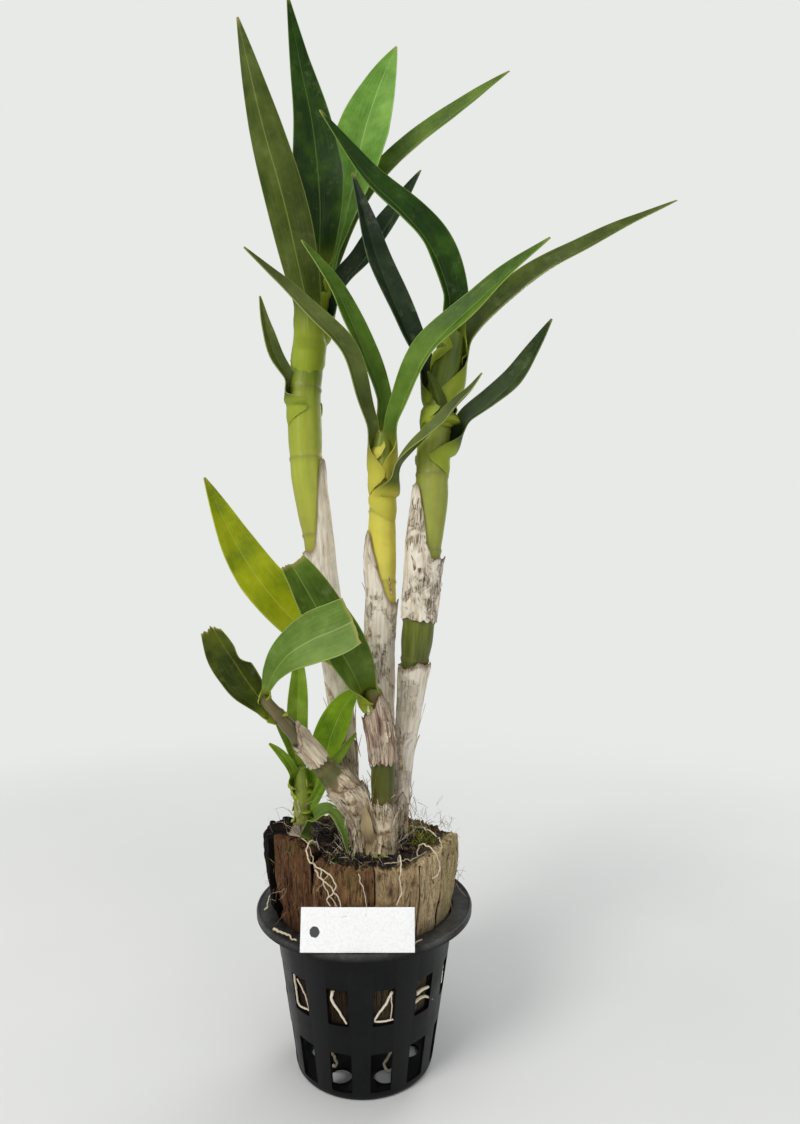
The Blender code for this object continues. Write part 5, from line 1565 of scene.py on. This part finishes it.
class ORCHID_OT_stage(OrchidOperator, bpy.types.Operator):
    """Set the pale floor, the soft lights, the pale room and the level camera"""
    bl_idname = "orchid.stage"
    bl_label = "Stage"

    def make(self, scene):
        settings = scene.orchid_stage
        floor = new_grid("pale_floor", 60, 60)
        shape_grid(floor, lambda u, v: Vector((FLOOR_WIDTH * (u - 0.5), FLOOR_WIDTH * (v - 0.5), 0)))
        floor.data.materials.append(floor_material())
        for name, (place, size, share, colour) in LIGHTS.items():
            data = bpy.data.lights.new(name, "AREA")
            data.shape = "DISK"
            data.size = size
            data.energy = settings.key_power * share
            data.color = colour
            light = bpy.data.objects.new(name, data)
            light.location = place
            light.rotation_euler = (LIGHT_AIM - Vector(place)).to_track_quat("-Z", "Y").to_euler()
            light.visible_camera = False
            scene.collection.objects.link(light)
        world = bpy.data.worlds.new("soft_room")
        world.use_nodes = True
        tree = world.node_tree
        tree.nodes.clear()
        glow = add(tree, "Background", ((*settings.world_colour, 1.0), 0.5))
        seen = add(tree, "Background", (PALE_WALL, 1.0))
        mixed = add(tree, "MixShader", (add(tree, "LightPath"), glow, seen))
        add(tree, "OutputWorld", (mixed,))
        scene.world = world
        data = bpy.data.cameras.new("photo_camera")
        data.sensor_width = SENSOR_WIDTH
        data.lens = FOCAL_PIXELS / PHOTO_HEIGHT_PIXELS * SENSOR_WIDTH
        data.clip_start = 0.01
        camera = bpy.data.objects.new("photo_camera", data)
        camera.location = (CAMERA_X, CAMERA_Y, settings.camera_height)
        camera.rotation_euler = (math.radians(90), 0, 0)
        scene.collection.objects.link(camera)
        scene.camera = camera
        scene.view_settings.view_transform = "Standard"


class ORCHID_PT_panel(bpy.types.Panel):
    """Sidebar panel with the settings and a button for each group of pieces"""
    bl_idname = "ORCHID_PT_panel"
    bl_label = "Dendrobium Orchid"
    bl_space_type = "VIEW_3D"
    bl_region_type = "UI"
    bl_category = "Orchid"

    def draw(self, context):
        layout = self.layout
        for group_name, settings in SETTINGS.items():
            column = layout.column(align=True)
            for name in settings.__annotations__:
                column.prop(getattr(context.scene, group_name), name)
        for operator in OPERATORS:
            layout.operator(operator.bl_idname)


SETTINGS = {"orchid_leaf": OrchidLeafSettings, "orchid_stem": OrchidStemSettings,
            "orchid_pot": OrchidPotSettings, "orchid_stage": OrchidStageSettings}
OPERATORS = (ORCHID_OT_stage, ORCHID_OT_pot, ORCHID_OT_husk, ORCHID_OT_medium, ORCHID_OT_canes,
             ORCHID_OT_sheaths, ORCHID_OT_leaves, ORCHID_OT_roots, ORCHID_OT_card)


def register():
    for settings in SETTINGS.values():
        bpy.utils.register_class(settings)
    for operator in OPERATORS:
        bpy.utils.register_class(operator)
    bpy.utils.register_class(ORCHID_PT_panel)
    for name, settings in SETTINGS.items():
        setattr(bpy.types.Scene, name, PointerProperty(type=settings))


def unregister():
    for name in SETTINGS:
        delattr(bpy.types.Scene, name)
    bpy.utils.unregister_class(ORCHID_PT_panel)
    for operator in reversed(OPERATORS):
        bpy.utils.unregister_class(operator)
    for settings in SETTINGS.values():
        bpy.utils.unregister_class(settings)


def main():
    register()
    bpy.ops.orchid.stage()
    bpy.ops.orchid.pot()
    bpy.ops.orchid.husk()
    bpy.ops.orchid.medium()
    bpy.ops.orchid.canes()
    bpy.ops.orchid.sheaths()
    bpy.ops.orchid.leaves()
    bpy.ops.orchid.roots()
    bpy.ops.orchid.card()


if __name__ == "__main__":
    main()
